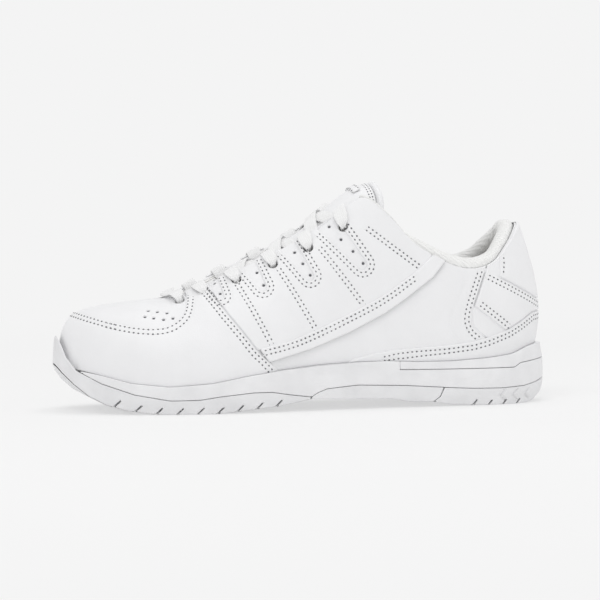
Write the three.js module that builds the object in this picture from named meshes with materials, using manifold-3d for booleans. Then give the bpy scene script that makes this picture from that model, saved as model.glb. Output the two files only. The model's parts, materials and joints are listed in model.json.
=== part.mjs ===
// A low-cut lace-up cheer trainer, left foot: toe to -X, outer (lateral) side to -Y, sole down.
// All sizes are in millimetres.
import * as THREE from "three";
import { mergeVertices } from "three/addons/utils/BufferGeometryUtils.js";
import Module from "manifold-3d";

const wasm = await Module();
wasm.setup();

// Overall sizes, and the sizes the shapes below are drawn at.
const SHOE_LENGTH = 269.5;
const SHOE_WIDTH = 96;
const SHOE_HEIGHT = 123;
const DRAWN_LENGTH = 269.5;
const DRAWN_WIDTH = 96;
const DRAWN_HEIGHT = 123;
const LONG = SHOE_LENGTH / DRAWN_LENGTH;
const WIDE = SHOE_WIDTH / DRAWN_WIDTH;
const TALL = SHOE_HEIGHT / DRAWN_HEIGHT;

// Layers of the upper, measured from the outside of its base leather.
const GAP = 0.3;
const LEATHER = 1.4;
const OVERLAY = 0.9;
const STIFFENER = 0.8;
const LINING = 0.7;
const COLLAR_PADDING = 5;
const COLLAR_ROLL_WIDTH = 9;
const COLLAR_ROLL_HEIGHT = 10;

// Lace, its holes, tongue and footbed.
const LACE_WIDTH = 6.6;
const LACE_THICKNESS = 1;
const EYELET_DIAMETER = 5;
const EYELET_STATIONS = [4.0, 4.75, 5.5, 6.25, 7.0, 7.8];
const EYELET_RISE = 0.84;
const AGLET_LENGTH = 20;
const AGLET_DIAMETER = 3;
const TONGUE_PADDING = 5;
const SOCKLINER_THICKNESS = 4;
const BOARD_THICKNESS = 1.8;

// Offsets of each layer's two faces.
const BASE_INNER = -LEATHER;
const OVERLAY_INNER = GAP;
const OVERLAY_OUTER = GAP + OVERLAY;
const BAND_INNER = OVERLAY_OUTER + GAP;
const BAND_OUTER = BAND_INNER + OVERLAY;
const STIFFENER_OUTER = BASE_INNER - GAP;
const STIFFENER_INNER = STIFFENER_OUTER - STIFFENER;
const LINING_OUTER = STIFFENER_INNER - GAP;
const LINING_INNER = LINING_OUTER - LINING;
const LACE_CLEARANCE = 1.25;
const LACE_UNDER = LINING_INNER - LACE_THICKNESS / 2 - LACE_CLEARANCE;
const LACE_OVER = OVERLAY_OUTER + LACE_THICKNESS / 2 + LACE_CLEARANCE;

// Stations of the upper from toe (0) to heel (16). Each gives the foot of a rib on the sole line
// (x, y on the lateral side, y on the medial side), the top of the rib (x, y of the centre line,
// z, half the opening there), and how far the rib swells low down and near its top.
const STATIONS = [
  [-129, 6, 6, -112, 4, 54.5, 0, 2, 0.75, 10, 0],
  [-124, -12.5, 22, -107, 3, 55.6, 0, 2, 0.72, 13, 0],
  [-107, -28, 33.5, -97, 2, 57, 0, 2.5, 0.66, 19, 0],
  [-86, -37.5, 42, -82, 1, 58.5, 0, 3, 0.6, 23, 0],
  [-60, -42.5, 43.5, -70, 0, 60.5, 8, 3.5, 0.5, 19, 0.04],
  [-38, -42, 41, -54, 0, 67, 14, 4.5, 0.4, 15, 0.08],
  [-16, -39, 36.5, -29, 0, 78.5, 17.5, 5, 0.34, 13, 0.11],
  [7, -35.5, 31.5, -3, 0, 91, 18.5, 5, 0.32, 11, 0.13],
  [28, -33, 28.5, 20, 0, 106.5, 20, 5, 0.3, 9, 0.16],
  [38, -32, 28, 30, 0, 111, 21.5, 5, 0.3, 7, 0.22],
  [50, -31.5, 28, 42.5, 0, 101, 25, 5, 0.3, 4, 0.28],
  [64, -31, 28.5, 57, 0, 85.5, 28.5, 4.5, 0.32, 3, 0.3],
  [82, -31, 29, 80, 0, 74, 30.5, 4.5, 0.33, 2.5, 0.3],
  [100, -29, 27, 97.5, 0, 75.5, 27, 5, 0.33, 3, 0.3],
  [114, -22.5, 21, 109, 0, 85.5, 19.5, 6, 0.33, 4.5, 0.3],
  [124.5, -12, 11.5, 117, 0, 95, 10, 7, 0.33, 6, 0.3],
  [127.5, 0, 0, 120, 0, 97, 0, 7, 0.33, 6.5, 0.3],
];
const HEEL = STATIONS.length - 1;
const AROUND = 2 * HEEL;
const THROAT = 3;

// Height of the line where upper and midsole meet, along the shoe.
const FEATHER_LINE = [
  [-140, 28], [-129, 24], [-114, 20.5], [-99, 16.4], [-80, 14.5], [-58, 16], [-40, 19.2],
  [-22, 21.8], [0, 24], [20, 25], [38, 25.1], [56, 24.2], [74, 24.2], [95, 25.5],
  [109, 27], [119, 30.4], [127, 31.8], [140, 32],
];

// Side view of the sole: underside, top of the outsole, and the back of the heel.
const FORE_UNDERSIDE = [
  [-139, 34], [-135.4, 30], [-134, 25], [-131.3, 20.7], [-126.5, 15.2], [-120, 9.6], [-111.5, 5],
  [-102, 2.3], [-90, 0.5], [-78, 0], [-58, 0], [-43.5, 1.1], [-31, 2.4], [-22, 3.2], [-13, 4.8],
  [-4.6, 6.3],
];
const FORE_OUTSOLE_TOP = [
  [-4.6, 7.3], [-17, 9], [-26, 10.5], [-36, 10.6], [-54, 9], [-65, 7.4], [-80, 7.2],
  [-98, 10.4], [-114, 16], [-125.5, 22.5], [-129.8, 29], [-132.8, 40], [-139, 41],
];
const STRIP_TOP = [
  [-4.3, 7.3], [-1, 9.4], [4.3, 11.3], [21.5, 12.7], [48, 11.7], [69.2, 10.2],
];
const STRIP_UNDERSIDE = [
  [67.2, 5.4], [63.8, 2.8], [50.5, 3], [42, 4.8], [17, 5.5], [-4.3, 6.3],
];
const POD_TOP = [
  [69.6, 10.1], [86, 9.2], [102, 8.9], [116.7, 9.5], [124.5, 10.9], [138, 14.5],
];
const POD_UNDERSIDE = [
  [133.6, 13], [132.4, 10], [129.3, 5.4], [123.5, 1.4], [117, 0], [94, 0], [73, 1.1],
  [64.1, 2.7], [67.6, 5.4],
];
const HEEL_BACK = [
  [133.9, 15.2], [134, 20.5], [132.7, 24.6], [130.8, 26.8], [129.4, 31.9],
];
const LEDGE_LINE = [
  [45, 20.2], [60, 19.9], [110, 19.7], [114, 21.9], [138, 24.3],
];

// Side view outlines of the leather pieces.
const MUDGUARD_EDGE = [
  [-140, 56], [-127, 54.6], [-119, 51.6], [-110, 48.8], [-101, 46.6], [-93.5, 45.4], [-85.5, 44.9],
  [-79, 45.8], [-73.8, 48.5], [-70.2, 52], [-68.3, 56], [-66.6, 61], [-66, 75],
];
const MUDGUARD_BACK = [
  [-60, 75], [-58, 68], [-48, 51.7], [-34, 32.7], [-22, 21.7], [-20, 5],
];
const BAND_TOP = [
  [-32.6, 33.4], [-16, 37], [0, 42.8], [25, 54], [37, 60], [53.5, 71], [66, 82],
];
const BAND_BOTTOM = [
  [75, 82], [64, 69], [49, 58], [37, 50.2], [17, 40.6], [-4, 32.6], [-23, 27.4], [-27.4, 26.2],
];
const FOXING_EDGE = [
  [14, 20], [18, 25.8], [30.7, 29], [43.5, 30.8], [69.7, 32.2], [86, 34], [94.3, 36], [107, 40.3],
  [115.5, 44.3], [123, 48.4], [140, 50.4],
];
const QUARTER_BACK = [
  [96, 78], [95.4, 74.6], [85.2, 50.2], [85.2, 42.4], [93.3, 35.7], [93.3, 10],
];
const STRAP_EDGE = [
  [86.9, 53], [94.6, 71.5], [128.4, 55], [140, 54.6], [140, 51], [123, 49], [115.5, 44.9],
  [107, 40.9], [104.5, 39.9],
];
const TAB_EDGE = [
  [140, 55.2], [128.8, 55.6], [102.5, 68.5], [103.5, 74.5], [104.5, 140], [140, 140],
];
// Windows of the eyestay: middle of the upper end, middle of the lower end, width.
const WINDOWS = [
  [-53, 69.8, -50.1, 61, 6.8],
  [-34.5, 78.2, -28.3, 65.3, 9.4],
  [-14.9, 90.4, -3, 70.5, 10.2],
  [8.2, 98.7, 25.6, 76, 11.4],
];

const COLOURS = {
  leather: 0xf4f4f5,
  rubber: 0xf0f0f1,
  foam: 0xf2f2f3,
  fabric: 0xf3f1ee,
  board: 0xe6e2da,
  plastic: 0xeceded,
};

const group = new THREE.Group();
group.name = "cheer_shoe";

const scaled = ([x, z]) => new THREE.Vector2(x * LONG, z * TALL);
const vector = (x, y, z) => new THREE.Vector3(x, y, z);
const UP = vector(0, 0, 1);

// Height of a line of [x, z] points at x, in full size.
function lineHeight(line, x) {
  const at = x / LONG;
  let i = 1;
  while (i < line.length - 1 && line[i][0] < at) {
    i += 1;
  }
  const [x0, z0] = line[i - 1];
  const [x1, z1] = line[i];
  const share = Math.min(Math.max((at - x0) / (x1 - x0), 0), 1);
  return (z0 + (z1 - z0) * share) * TALL;
}
const featherHeight = (x) => lineHeight(FEATHER_LINE, x);

// One column of the stations at a place p round the shoe: 0 toe, 16 heel, 32 toe again.
function station(p, column) {
  const at = ((p % AROUND) + AROUND) % AROUND;
  const i = Math.floor(at);
  const f = at - i;
  const value = (k) => {
    const place = ((k % AROUND) + AROUND) % AROUND;
    const row = STATIONS[place <= HEEL ? place : AROUND - place];
    const side = place <= HEEL ? 1 : 2;
    return row[column === 1 ? side : column];
  };
  const [a, b, c, d] = [value(i - 1), value(i), value(i + 1), value(i + 2)];
  const cubic = (3 * (b - c) + d - a) * f ** 3;
  const square = (2 * a - 5 * b + 4 * c - d) * f ** 2;
  return b + 0.5 * ((c - a) * f + square + cubic);
}

function ribFoot(p) {
  const x = station(p, 0) * LONG;
  return vector(x, station(p, 1) * WIDE, featherHeight(x));
}

function outward(p) {
  const along = ribFoot(p + 0.05).sub(ribFoot(p - 0.05));
  return vector(along.y, -along.x, 0).normalize();
}

// Half the opening between the two sides at p; nothing in front of the throat.
function halfOpening(p) {
  const at = ((p % AROUND) + AROUND) % AROUND;
  const fromToe = Math.min(at, AROUND - at);
  return fromToe <= THROAT ? 0 : Math.max(station(p, 6), 0) * WIDE;
}

function ribTop(p) {
  const at = ((p % AROUND) + AROUND) % AROUND;
  const side = at <= HEEL ? -1 : 1;
  const y = station(p, 4) * WIDE + side * halfOpening(p);
  return vector(station(p, 3) * LONG, y, station(p, 5) * TALL);
}

// The outside of the base leather at p, from the sole line (t = 0) to the top edge (t = 1).
function surfaceAt(p, t) {
  const foot = ribFoot(p);
  const top = ribTop(p);
  const out = outward(p);
  const rise = top.z - foot.z;
  const low = foot.clone().addScaledVector(out, station(p, 7) * WIDE);
  low.addScaledVector(UP, rise * station(p, 8));
  const high = top.clone().addScaledVector(out, station(p, 9) * WIDE);
  high.addScaledVector(UP, -rise * station(p, 10));
  return new THREE.CubicBezierCurve3(foot, low, high, top).getPoint(t);
}

function normalAt(p, t) {
  const inside = Math.min(Math.max(t, 0.03), 0.96);
  const along = surfaceAt(p + 0.04, inside).sub(surfaceAt(p - 0.04, inside));
  const up = surfaceAt(p, inside + 0.03).sub(surfaceAt(p, inside - 0.03));
  return along.cross(up).normalize();
}

// The normal, shared by both sides where they meet on the ridge of the toe.
function sharedNormal(p, t) {
  const normal = normalAt(p, t);
  if (t > 0.9 && halfOpening(p) === 0) {
    normal.add(normalAt(-p, t)).normalize();
  }
  return normal;
}

// A point off the outside of the leather; the sole line stays level with the midsole.
function layerPoint(p, t, offset) {
  const point = surfaceAt(p, t).addScaledVector(sharedNormal(p, t), offset);
  if (t === 0) {
    point.z = featherHeight(point.x);
  }
  return point;
}

function solidOf(geometry) {
  const bare = new THREE.BufferGeometry();
  bare.setAttribute("position", geometry.getAttribute("position"));
  bare.setIndex(geometry.index);
  const merged = mergeVertices(bare, 1e-4);
  const corners = Array.from(merged.index.array);
  const sound = [];
  for (let i = 0; i < corners.length; i += 3) {
    const [a, b, c] = corners.slice(i, i + 3);
    if (a !== b && b !== c && a !== c) {
      sound.push(a, b, c);
    }
  }
  const vertProperties = merged.attributes.position.array;
  const triVerts = new Uint32Array(sound);
  return new wasm.Manifold(new wasm.Mesh({ numProp: 3, vertProperties, triVerts }));
}

function geometryOf(points, triangles) {
  const geometry = new THREE.BufferGeometry();
  const positions = points.flatMap((point) => [point.x, point.y, point.z]);
  geometry.setAttribute("position", new THREE.Float32BufferAttribute(positions, 3));
  geometry.setIndex(triangles.flat());
  return geometry;
}

function steps(from, to, count) {
  return Array.from({ length: count + 1 }, (_, i) => from + ((to - from) * i) / count);
}

// A closed sheet between two offsets of a surface, over places ps and rises tsAt(p).
function sheet(pointAt, ps, tsAt, innerAt, outerAt) {
  const places = new Map();
  const outside = [];
  const inside = [];
  const vertex = (p, t) => {
    const outer = pointAt(p, t, outerAt(p, t));
    const key = [outer.x, outer.y, outer.z].map((v) => Math.round(v * 1000)).join();
    if (!places.has(key)) {
      places.set(key, outside.length);
      outside.push(outer);
      inside.push(pointAt(p, t, innerAt(p, t)));
    }
    return places.get(key);
  };
  const grid = ps.map((p) => tsAt(p).map((t) => vertex(p, t)));
  const faces = [];
  for (let i = 0; i < grid.length - 1; i += 1) {
    for (let j = 0; j < grid[i].length - 1; j += 1) {
      const [a, b, c, d] = [grid[i][j], grid[i + 1][j], grid[i + 1][j + 1], grid[i][j + 1]];
      faces.push([a, b, c], [a, c, d]);
    }
  }
  const sound = faces.filter(([a, b, c]) => a !== b && b !== c && a !== c);
  const shift = outside.length;
  const edges = new Set(sound.flatMap(([a, b, c]) => [`${a},${b}`, `${b},${c}`, `${c},${a}`]));
  const rim = [];
  for (const edge of edges) {
    const [a, b] = edge.split(",").map(Number);
    if (!edges.has(`${b},${a}`)) {
      rim.push([b, a, a + shift], [b, a + shift, b + shift]);
    }
  }
  const back = sound.map(([a, b, c]) => [c + shift, b + shift, a + shift]);
  return solidOf(geometryOf([...outside, ...inside], [...sound, ...back, ...rim]));
}

const LATERAL = -1;
const MEDIAL = 1;
const RISES = [0, 0.16, 0.34, 0.52, 0.7, 0.86, 1];
// Places sampled from toe to heel: close together round the toe, the eyestay corner and the heel.
const PLACES = [
  0, 0.5, 1, 1.5, 2, 2.5, 3, 3.5, 4, 5, 6, 7, 8, 8.5, 9, 9.5, 10, 11, 12, 13, 13.5, 14, 14.5, 15,
  15.5, 16,
];
const ALL_PLACES = [...PLACES, ...PLACES.slice(0, -1).reverse().map((p) => AROUND - p)];

// The sampled places between two places round the shoe, with both ends.
function placesBetween(from, to) {
  const turns = [...ALL_PLACES.map((p) => p - AROUND), ...ALL_PLACES.slice(1)];
  return [from, ...turns.filter((p) => p > from + 0.2 && p < to - 0.2), to];
}
function risesUpTo(top) {
  return [...RISES.filter((t) => t < top - 0.05), top];
}

// A point of a layer between its sampled places and rises.
function onLayer(p, t, offset) {
  const i = Math.max(ALL_PLACES.findIndex((place) => place >= p), 1);
  const j = Math.max(RISES.findIndex((rise) => rise >= t), 1);
  const [p0, p1, t0, t1] = [ALL_PLACES[i - 1], ALL_PLACES[i], RISES[j - 1], RISES[j]];
  const share = (p - p0) / (p1 - p0);
  const low = layerPoint(p0, t0, offset).lerp(layerPoint(p1, t0, offset), share);
  const high = layerPoint(p0, t1, offset).lerp(layerPoint(p1, t1, offset), share);
  return low.lerp(high, (t - t0) / (t1 - t0));
}

// A layer of the upper between two offsets, from place to place and up to a share of the rise.
function layer(from, to, inner, outer, top = 1) {
  return sheet(layerPoint, placesBetween(from, to), () => risesUpTo(top), () => inner, () => outer);
}

// The space inside an offset of the upper, closed across the opening and the sole.
function filled(offset, drop = 0) {
  const points = [];
  const faces = [];
  const ps = PLACES;
  const size = 2 * RISES.length;
  for (const p of ps) {
    const lateral = RISES.map((t) => layerPoint(p, t, offset));
    const medial = RISES.map((t) => layerPoint(AROUND - p, t, offset));
    points.push(...lateral, ...medial.reverse());
  }
  for (let i = 0; i < ps.length - 1; i += 1) {
    for (let j = 0; j < size; j += 1) {
      const a = i * size + j;
      const b = i * size + ((j + 1) % size);
      faces.push([a, a + size, b + size], [a, b + size, b]);
    }
  }
  return solidOf(geometryOf(points, faces)).translate([0, 0, -drop]);
}

// A side view outline of [x, z] points, drawn out across the shoe or across one side of it.
function prism(outline, side = 0) {
  const reach = SHOE_WIDTH;
  const shape = new THREE.Shape(outline.map(scaled));
  const depth = side === 0 ? 2 * reach : reach;
  const geometry = new THREE.ExtrudeGeometry(shape, { depth, bevelEnabled: false });
  geometry.rotateX(Math.PI / 2);
  geometry.translate(0, side === LATERAL ? 0 : reach, 0);
  return solidOf(geometry);
}

// Rings of equal size joined into one closed body.
function loft(rings) {
  const size = rings[0].length;
  const faces = [];
  for (let i = 0; i < rings.length - 1; i += 1) {
    for (let j = 0; j < size; j += 1) {
      const a = i * size + j;
      const b = i * size + ((j + 1) % size);
      faces.push([a, b, b + size], [a, b + size, a + size]);
    }
  }
  const last = (rings.length - 1) * size;
  for (let j = 1; j < size - 1; j += 1) {
    faces.push([0, j + 1, j], [last, last + j, last + j + 1]);
  }
  const solid = solidOf(geometryOf(rings.flat(), faces));
  if (solid.volume() > 0) {
    return solid;
  }
  return solidOf(geometryOf(rings.flat(), faces.map(([a, b, c]) => [a, c, b])));
}

const pieces = new Map();
function addPiece(name, solid, colour, roughness) {
  pieces.set(name, { solid, colour, roughness });
}

const raised = (line, dz) => line.map(([x, z]) => [x, z + dz]);
const JOINT = GAP / TALL;

// Sole unit: a block with softly flared walls, cut along the side view lines.
const WALL = [
  [-3, 3.2], [0, 2.4], [6, 0.8], [14, 0], [24, 0.3], [34, 1], [44, 2],
];
function soleOutline(inset) {
  return steps(0, AROUND, 56).slice(0, -1).map((p) => {
    const fromToe = Math.min(p, AROUND - p);
    const margin = 4 + Math.max(2 - fromToe, 0) * 0.7 + Math.max(fromToe - 13, 0) * 0.8;
    return ribFoot(p).addScaledVector(outward(p), (margin - inset) * WIDE);
  });
}
const soleBlock = loft(
  WALL.map(([z, inset]) => soleOutline(inset).map((point) => vector(point.x, point.y, z * TALL))),
);
const toeSpace = filled(OVERLAY_OUTER + GAP).add(filled(OVERLAY_OUTER + GAP, GAP));

// Flex grooves across the tread, each leaning back as it rises.
function withGrooves(body, underside, from, to, count) {
  const width = 1.4;
  const depth = 1.8;
  const lean = 1;
  let cut = body;
  for (const x of steps(from, to, count - 1)) {
    const ground = lineHeight(underside, x * LONG) / TALL;
    cut = cut.subtract(prism([
      [x - width / 2, ground - 4], [x + width / 2, ground - 4],
      [x + width / 2 + lean, ground + depth], [x - width / 2 + lean, ground + depth],
    ]));
  }
  return cut;
}

const foreBlock = soleBlock.intersect(prism([...FORE_UNDERSIDE, ...FORE_OUTSOLE_TOP]));
const foreTread = withGrooves(foreBlock.subtract(toeSpace), FORE_UNDERSIDE, -108, -24, 9);
addPiece("outsole_forefoot", foreTread, COLOURS.rubber, 0.7);

const PLATE_TOP = [[5, 10.9], [21.5, 12.3], [48, 11.3], [62, 10.3]];
const plateHeight = 1.5;
const plateOutline = [...PLATE_TOP, ...raised(PLATE_TOP, -plateHeight).reverse()];
const slotOutline = [
  [62 + JOINT, 20], [4.7, 20], [4.7, 10.9 - plateHeight - JOINT],
  [21.5, 12.3 - plateHeight - JOINT], [48, 11.3 - plateHeight - JOINT],
  [62 + JOINT, 10.3 - plateHeight - JOINT],
];
const across = (width) => wasm.Manifold.cube([2 * SHOE_LENGTH, width, SHOE_HEIGHT], true);
const plateWidth = 0.34 * SHOE_WIDTH;
const strip = soleBlock.intersect(prism([...STRIP_TOP, ...STRIP_UNDERSIDE]));
const slot = prism(slotOutline).intersect(across(plateWidth + 2 * GAP));
addPiece("outsole_midfoot", strip.subtract(slot), COLOURS.rubber, 0.7);
addPiece("shank_plate", prism(plateOutline).intersect(across(plateWidth)), COLOURS.plastic, 0.5);

const pod = soleBlock.intersect(prism([...POD_TOP, ...POD_UNDERSIDE]));
addPiece("outsole_heel", withGrooves(pod, [[60, 0], [140, 0]], 86, 112, 4), COLOURS.rubber, 0.7);

const outsoleTop = [
  ...FORE_OUTSOLE_TOP.slice(0, -3).reverse(), ...STRIP_TOP, ...POD_TOP.slice(0, -1), [133.6, 13.6],
];
const midsoleOutline = [
  ...raised(outsoleTop, JOINT), ...HEEL_BACK, ...raised(FEATHER_LINE.slice(2, -1), -JOINT).reverse(),
];
const midsoleBlock = soleBlock.intersect(prism(midsoleOutline));
const aboveLedge = prism([...LEDGE_LINE, [140, 60], [45, 60]]);
const roomAboveLedge = prism([
  [45 - JOINT, 20.2 - JOINT], ...raised(LEDGE_LINE, -JOINT).slice(1), [140, 60], [45 - JOINT, 60],
]);
const heelCore = (inset) => filled(-inset, 14 * TALL);
const rimDepth = 6;
const rim = midsoleBlock.intersect(aboveLedge).subtract(heelCore(rimDepth));
const rimRoom = roomAboveLedge.subtract(heelCore(rimDepth + GAP));
addPiece("midsole", midsoleBlock.subtract(rimRoom), COLOURS.foam, 0.6);
addPiece("midsole_heel_rim", rim, COLOURS.foam, 0.6);

// Footbed.
function footbed(inset, low, high) {
  const under = raised(FEATHER_LINE, low / TALL);
  const over = raised(FEATHER_LINE, high / TALL);
  return filled(LINING_INNER - inset).intersect(prism([...under, ...over.reverse()]));
}
const sockLow = BOARD_THICKNESS + GAP;
const clothLow = sockLow + SOCKLINER_THICKNESS + GAP;
addPiece("strobel_board", footbed(GAP, 0, BOARD_THICKNESS), COLOURS.board, 0.9);
addPiece("sockliner_foam", footbed(1.2, sockLow, sockLow + SOCKLINER_THICKNESS), COLOURS.foam, 0.9);
addPiece("sockliner_cloth", footbed(1.2, clothLow, clothLow + LINING), COLOURS.fabric, 0.9);

// Lace holes through every layer of the eyestay.
function eyeletAt(station, side) {
  return side === LATERAL ? station : AROUND - station;
}
function laceHole(station, side) {
  const place = eyeletAt(station, side);
  const base = onLayer(place, EYELET_RISE, -9);
  const along = onLayer(place, EYELET_RISE, 9).sub(base);
  const geometry = new THREE.CylinderGeometry(EYELET_DIAMETER / 2, EYELET_DIAMETER / 2, 18, 8);
  geometry.applyQuaternion(new THREE.Quaternion().setFromUnitVectors(vector(0, 1, 0), along.clone().normalize()));
  const middle = base.addScaledVector(along, 0.5);
  geometry.translate(middle.x, middle.y, middle.z);
  return solidOf(geometry);
}
const holes = [LATERAL, MEDIAL].flatMap((side) => EYELET_STATIONS.map((s) => laceHole(s, side)));
const allHoles = wasm.Manifold.union(holes);

// Outer leather.
const baseLeather = layer(0, AROUND, BASE_INNER, 0).subtract(allHoles);
const vampBack = MUDGUARD_BACK.map(([x, z]) => [x - 5, z]);
const quarterFront = vampBack.map(([x, z]) => [x + 1, z]);
const vampOutline = [[-140, 5], [-140, 140], ...vampBack];
const quarterOutline = [...QUARTER_BACK, [-24, 5], ...quarterFront.slice().reverse(), [-64, 140], [96, 140]];
const heelOutline = [...QUARTER_BACK.map(([x, z]) => [x + 0.5, z]).reverse(), [96.5, 140], [140, 140], [140, 10]];
addPiece("vamp", baseLeather.intersect(prism(vampOutline)), COLOURS.leather, 0.5);
addPiece("quarter_lateral", baseLeather.intersect(prism(quarterOutline, LATERAL)), COLOURS.leather, 0.5);
addPiece("quarter_medial", baseLeather.intersect(prism(quarterOutline, MEDIAL)), COLOURS.leather, 0.5);
addPiece("heel_panel", baseLeather.intersect(prism(heelOutline)), COLOURS.leather, 0.5);

const overlays = layer(0, AROUND, OVERLAY_INNER, OVERLAY_OUTER).subtract(allHoles);
const mudguardOutline = [[-140, 5], ...MUDGUARD_EDGE, ...MUDGUARD_BACK];
addPiece("mudguard", overlays.intersect(prism(mudguardOutline)), COLOURS.leather, 0.5);

// A U-shaped window: straight sides narrowing to a round lower end.
function windowPrism([x0, z0, x1, z1, width]) {
  const axis = new THREE.Vector2(x1 - x0, z1 - z0).normalize();
  const aside = new THREE.Vector2(-axis.y, axis.x);
  const outline = [];
  const put = (x, z, w) => outline.push([x + aside.x * w, z + aside.y * w]);
  put(x0, z0, width / 2);
  put(x0, z0, -width / 2);
  const low = 0.24 * width;
  for (const turn of steps(-Math.PI / 2, Math.PI / 2, 6)) {
    const reach = low * Math.cos(turn);
    put(x1 + axis.x * reach, z1 + axis.y * reach, low * Math.sin(turn));
  }
  return prism(outline);
}
const windows = wasm.Manifold.union(WINDOWS.map(windowPrism));
const eyestayFront = MUDGUARD_BACK.slice(0, 4).map(([x, z]) => [x + 0.6, z]);
const eyestayOutline = [
  [-59.4, 140], ...eyestayFront.slice(1), ...raised(BAND_BOTTOM.slice(1, -2), 1).reverse(), [63.5, 140],
];
const eyestays = overlays.subtract(windows);
addPiece("eyestay_lateral", eyestays.intersect(prism(eyestayOutline, LATERAL)), COLOURS.leather, 0.5);
addPiece("eyestay_medial", eyestays.intersect(prism(eyestayOutline, MEDIAL)), COLOURS.leather, 0.5);

const bands = layer(4, AROUND - 4, BAND_INNER, BAND_OUTER);
const bandOutline = [...BAND_TOP, ...BAND_BOTTOM];
addPiece("saddle_band_lateral", bands.intersect(prism(bandOutline, LATERAL)), COLOURS.leather, 0.5);
addPiece("saddle_band_medial", bands.intersect(prism(bandOutline, MEDIAL)), COLOURS.leather, 0.5);

const foxingOutline = [...FOXING_EDGE, [140, 5], [14, 5]];
addPiece("heel_foxing", overlays.intersect(prism(foxingOutline)), COLOURS.leather, 0.5);
addPiece("heel_strap", overlays.intersect(prism(STRAP_EDGE)), COLOURS.leather, 0.5);
addPiece("heel_tab", overlays.intersect(prism(TAB_EDGE)), COLOURS.leather, 0.5);

// Stiffeners and tapes behind the leather.
const tape = (side) => {
  const [from, to] = side === LATERAL ? [3.9, 8.3] : [AROUND - 8.3, AROUND - 3.9];
  const tsAt = () => RISES.slice(-3);
  return sheet(layerPoint, placesBetween(from, to), tsAt, () => STIFFENER_INNER, () => STIFFENER_OUTER).subtract(allHoles);
};
addPiece("toe_puff", layer(-2.5, 2.5, STIFFENER_INNER, STIFFENER_OUTER, 0.8), COLOURS.board, 0.8);
addPiece("heel_counter", layer(13, 19, STIFFENER_INNER, STIFFENER_OUTER, 0.6), COLOURS.board, 0.8);
addPiece("eyelet_tape_lateral", tape(LATERAL), COLOURS.fabric, 0.9);
addPiece("eyelet_tape_medial", tape(MEDIAL), COLOURS.fabric, 0.9);

// Lining and collar padding.
function paddingAt(p, t) {
  const fromToe = Math.min(p, AROUND - p);
  const zone = THREE.MathUtils.smoothstep(fromToe, 9.2, 11.2);
  return COLLAR_PADDING * zone * THREE.MathUtils.smoothstep(t, 0.3, 0.72);
}
// The lining runs to the throat edge in front and stops under the collar roll behind.
function liningRises(p) {
  const under = THREE.MathUtils.smoothstep(Math.min(p, AROUND - p), 8.6, 10);
  return [...RISES.slice(0, -2), 0.86 - 0.08 * under, 1 - 0.14 * under];
}
const vampLining = layer(-5, 5, LINING_INNER, LINING_OUTER).subtract(allHoles);
addPiece("vamp_lining", vampLining, COLOURS.fabric, 0.9);
const quarterLining = sheet(
  layerPoint, placesBetween(5.06, AROUND - 5.06), liningRises,
  (p, t) => LINING_INNER - paddingAt(p, t), (p, t) => LINING_OUTER - paddingAt(p, t),
).subtract(allHoles);
addPiece("quarter_lining", quarterLining, COLOURS.fabric, 0.9);
const collarFoam = sheet(
  layerPoint, placesBetween(10, AROUND - 10), () => [0.52, 0.7, 0.86],
  (p, t) => LINING_OUTER - paddingAt(p, t) + GAP, () => LINING_OUTER,
);
addPiece("collar_foam", collarFoam, COLOURS.foam, 0.9);

const ROLL_RISE = [
  [9.3, -7], [10, -3.5], [11, 0], [12, 0.6], [13, 0.4], [14, -1], [15, -3], [16, -3.6],
];
function rollRing(p) {
  const fromToe = Math.min(p, AROUND - p);
  const share = 0.3 + 0.7 * THREE.MathUtils.smoothstep(fromToe, 9.4, 11.6);
  const halfWidth = (COLLAR_ROLL_WIDTH / 2) * share;
  const halfHeight = (COLLAR_ROLL_HEIGHT / 2) * share;
  const rise = lineHeight(ROLL_RISE, fromToe * LONG) / TALL;
  const out = outward(p);
  const middle = ribTop(p).addScaledVector(out, BASE_INNER - GAP - halfWidth);
  middle.addScaledVector(UP, rise);
  return steps(0, 2 * Math.PI, 8).slice(0, -1).map((turn) => {
    const point = middle.clone().addScaledVector(out, halfWidth * Math.cos(turn));
    return point.addScaledVector(UP, halfHeight * Math.sin(turn));
  });
}
addPiece("collar_roll", loft(placesBetween(9.6, AROUND - 9.6).map(rollRing)), COLOURS.fabric, 0.9);

// Tongue: a padded arched tongue following the throat, sewn in at its front end.
const TONGUE_LINE = [
  [-78, 51], [-62, 57], [-45, 66.5], [-30, 75.5], [-15, 84.3], [0, 94], [10, 102], [20, 110.8],
  [28, 116], [36, 118.6],
];
const TONGUE_ARCH = 1.2;
const TONGUE_CORNER = 0.07;
const tongueCurve = new THREE.CatmullRomCurve3(
  TONGUE_LINE.map(([x, z]) => vector(x * LONG, 0, z * TALL)),
);
function tonguePoint(v, share, offset) {
  const u = share * (1 - TONGUE_CORNER * v ** 4);
  const middle = tongueCurve.getPoint(u);
  const along = tongueCurve.getTangent(u);
  const up = vector(-along.z, 0, along.x);
  const halfWidth = (15.5 + 8 * u - 5 * u * u) * WIDE;
  const arch = (4 + 15 * u) * TALL;
  const turn = v * TONGUE_ARCH;
  const aside = halfWidth / Math.sin(TONGUE_ARCH);
  const fall = arch / (1 - Math.cos(TONGUE_ARCH));
  const normal = vector(0, fall * Math.sin(turn), 0).addScaledVector(up, aside * Math.cos(turn));
  middle.addScaledVector(up, -fall * (1 - Math.cos(turn)));
  middle.y += aside * Math.sin(turn);
  return middle.addScaledVector(normal.normalize(), offset);
}
const tonguePadding = (u) => TONGUE_PADDING * (0.35 + 0.65 * u);
const tongueUnder = (u) => -OVERLAY - GAP - tonguePadding(u);
const acrossTongue = steps(1, -1, 6);
const alongTongue = (from, to) => () => steps(from, to, 12);
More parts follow.
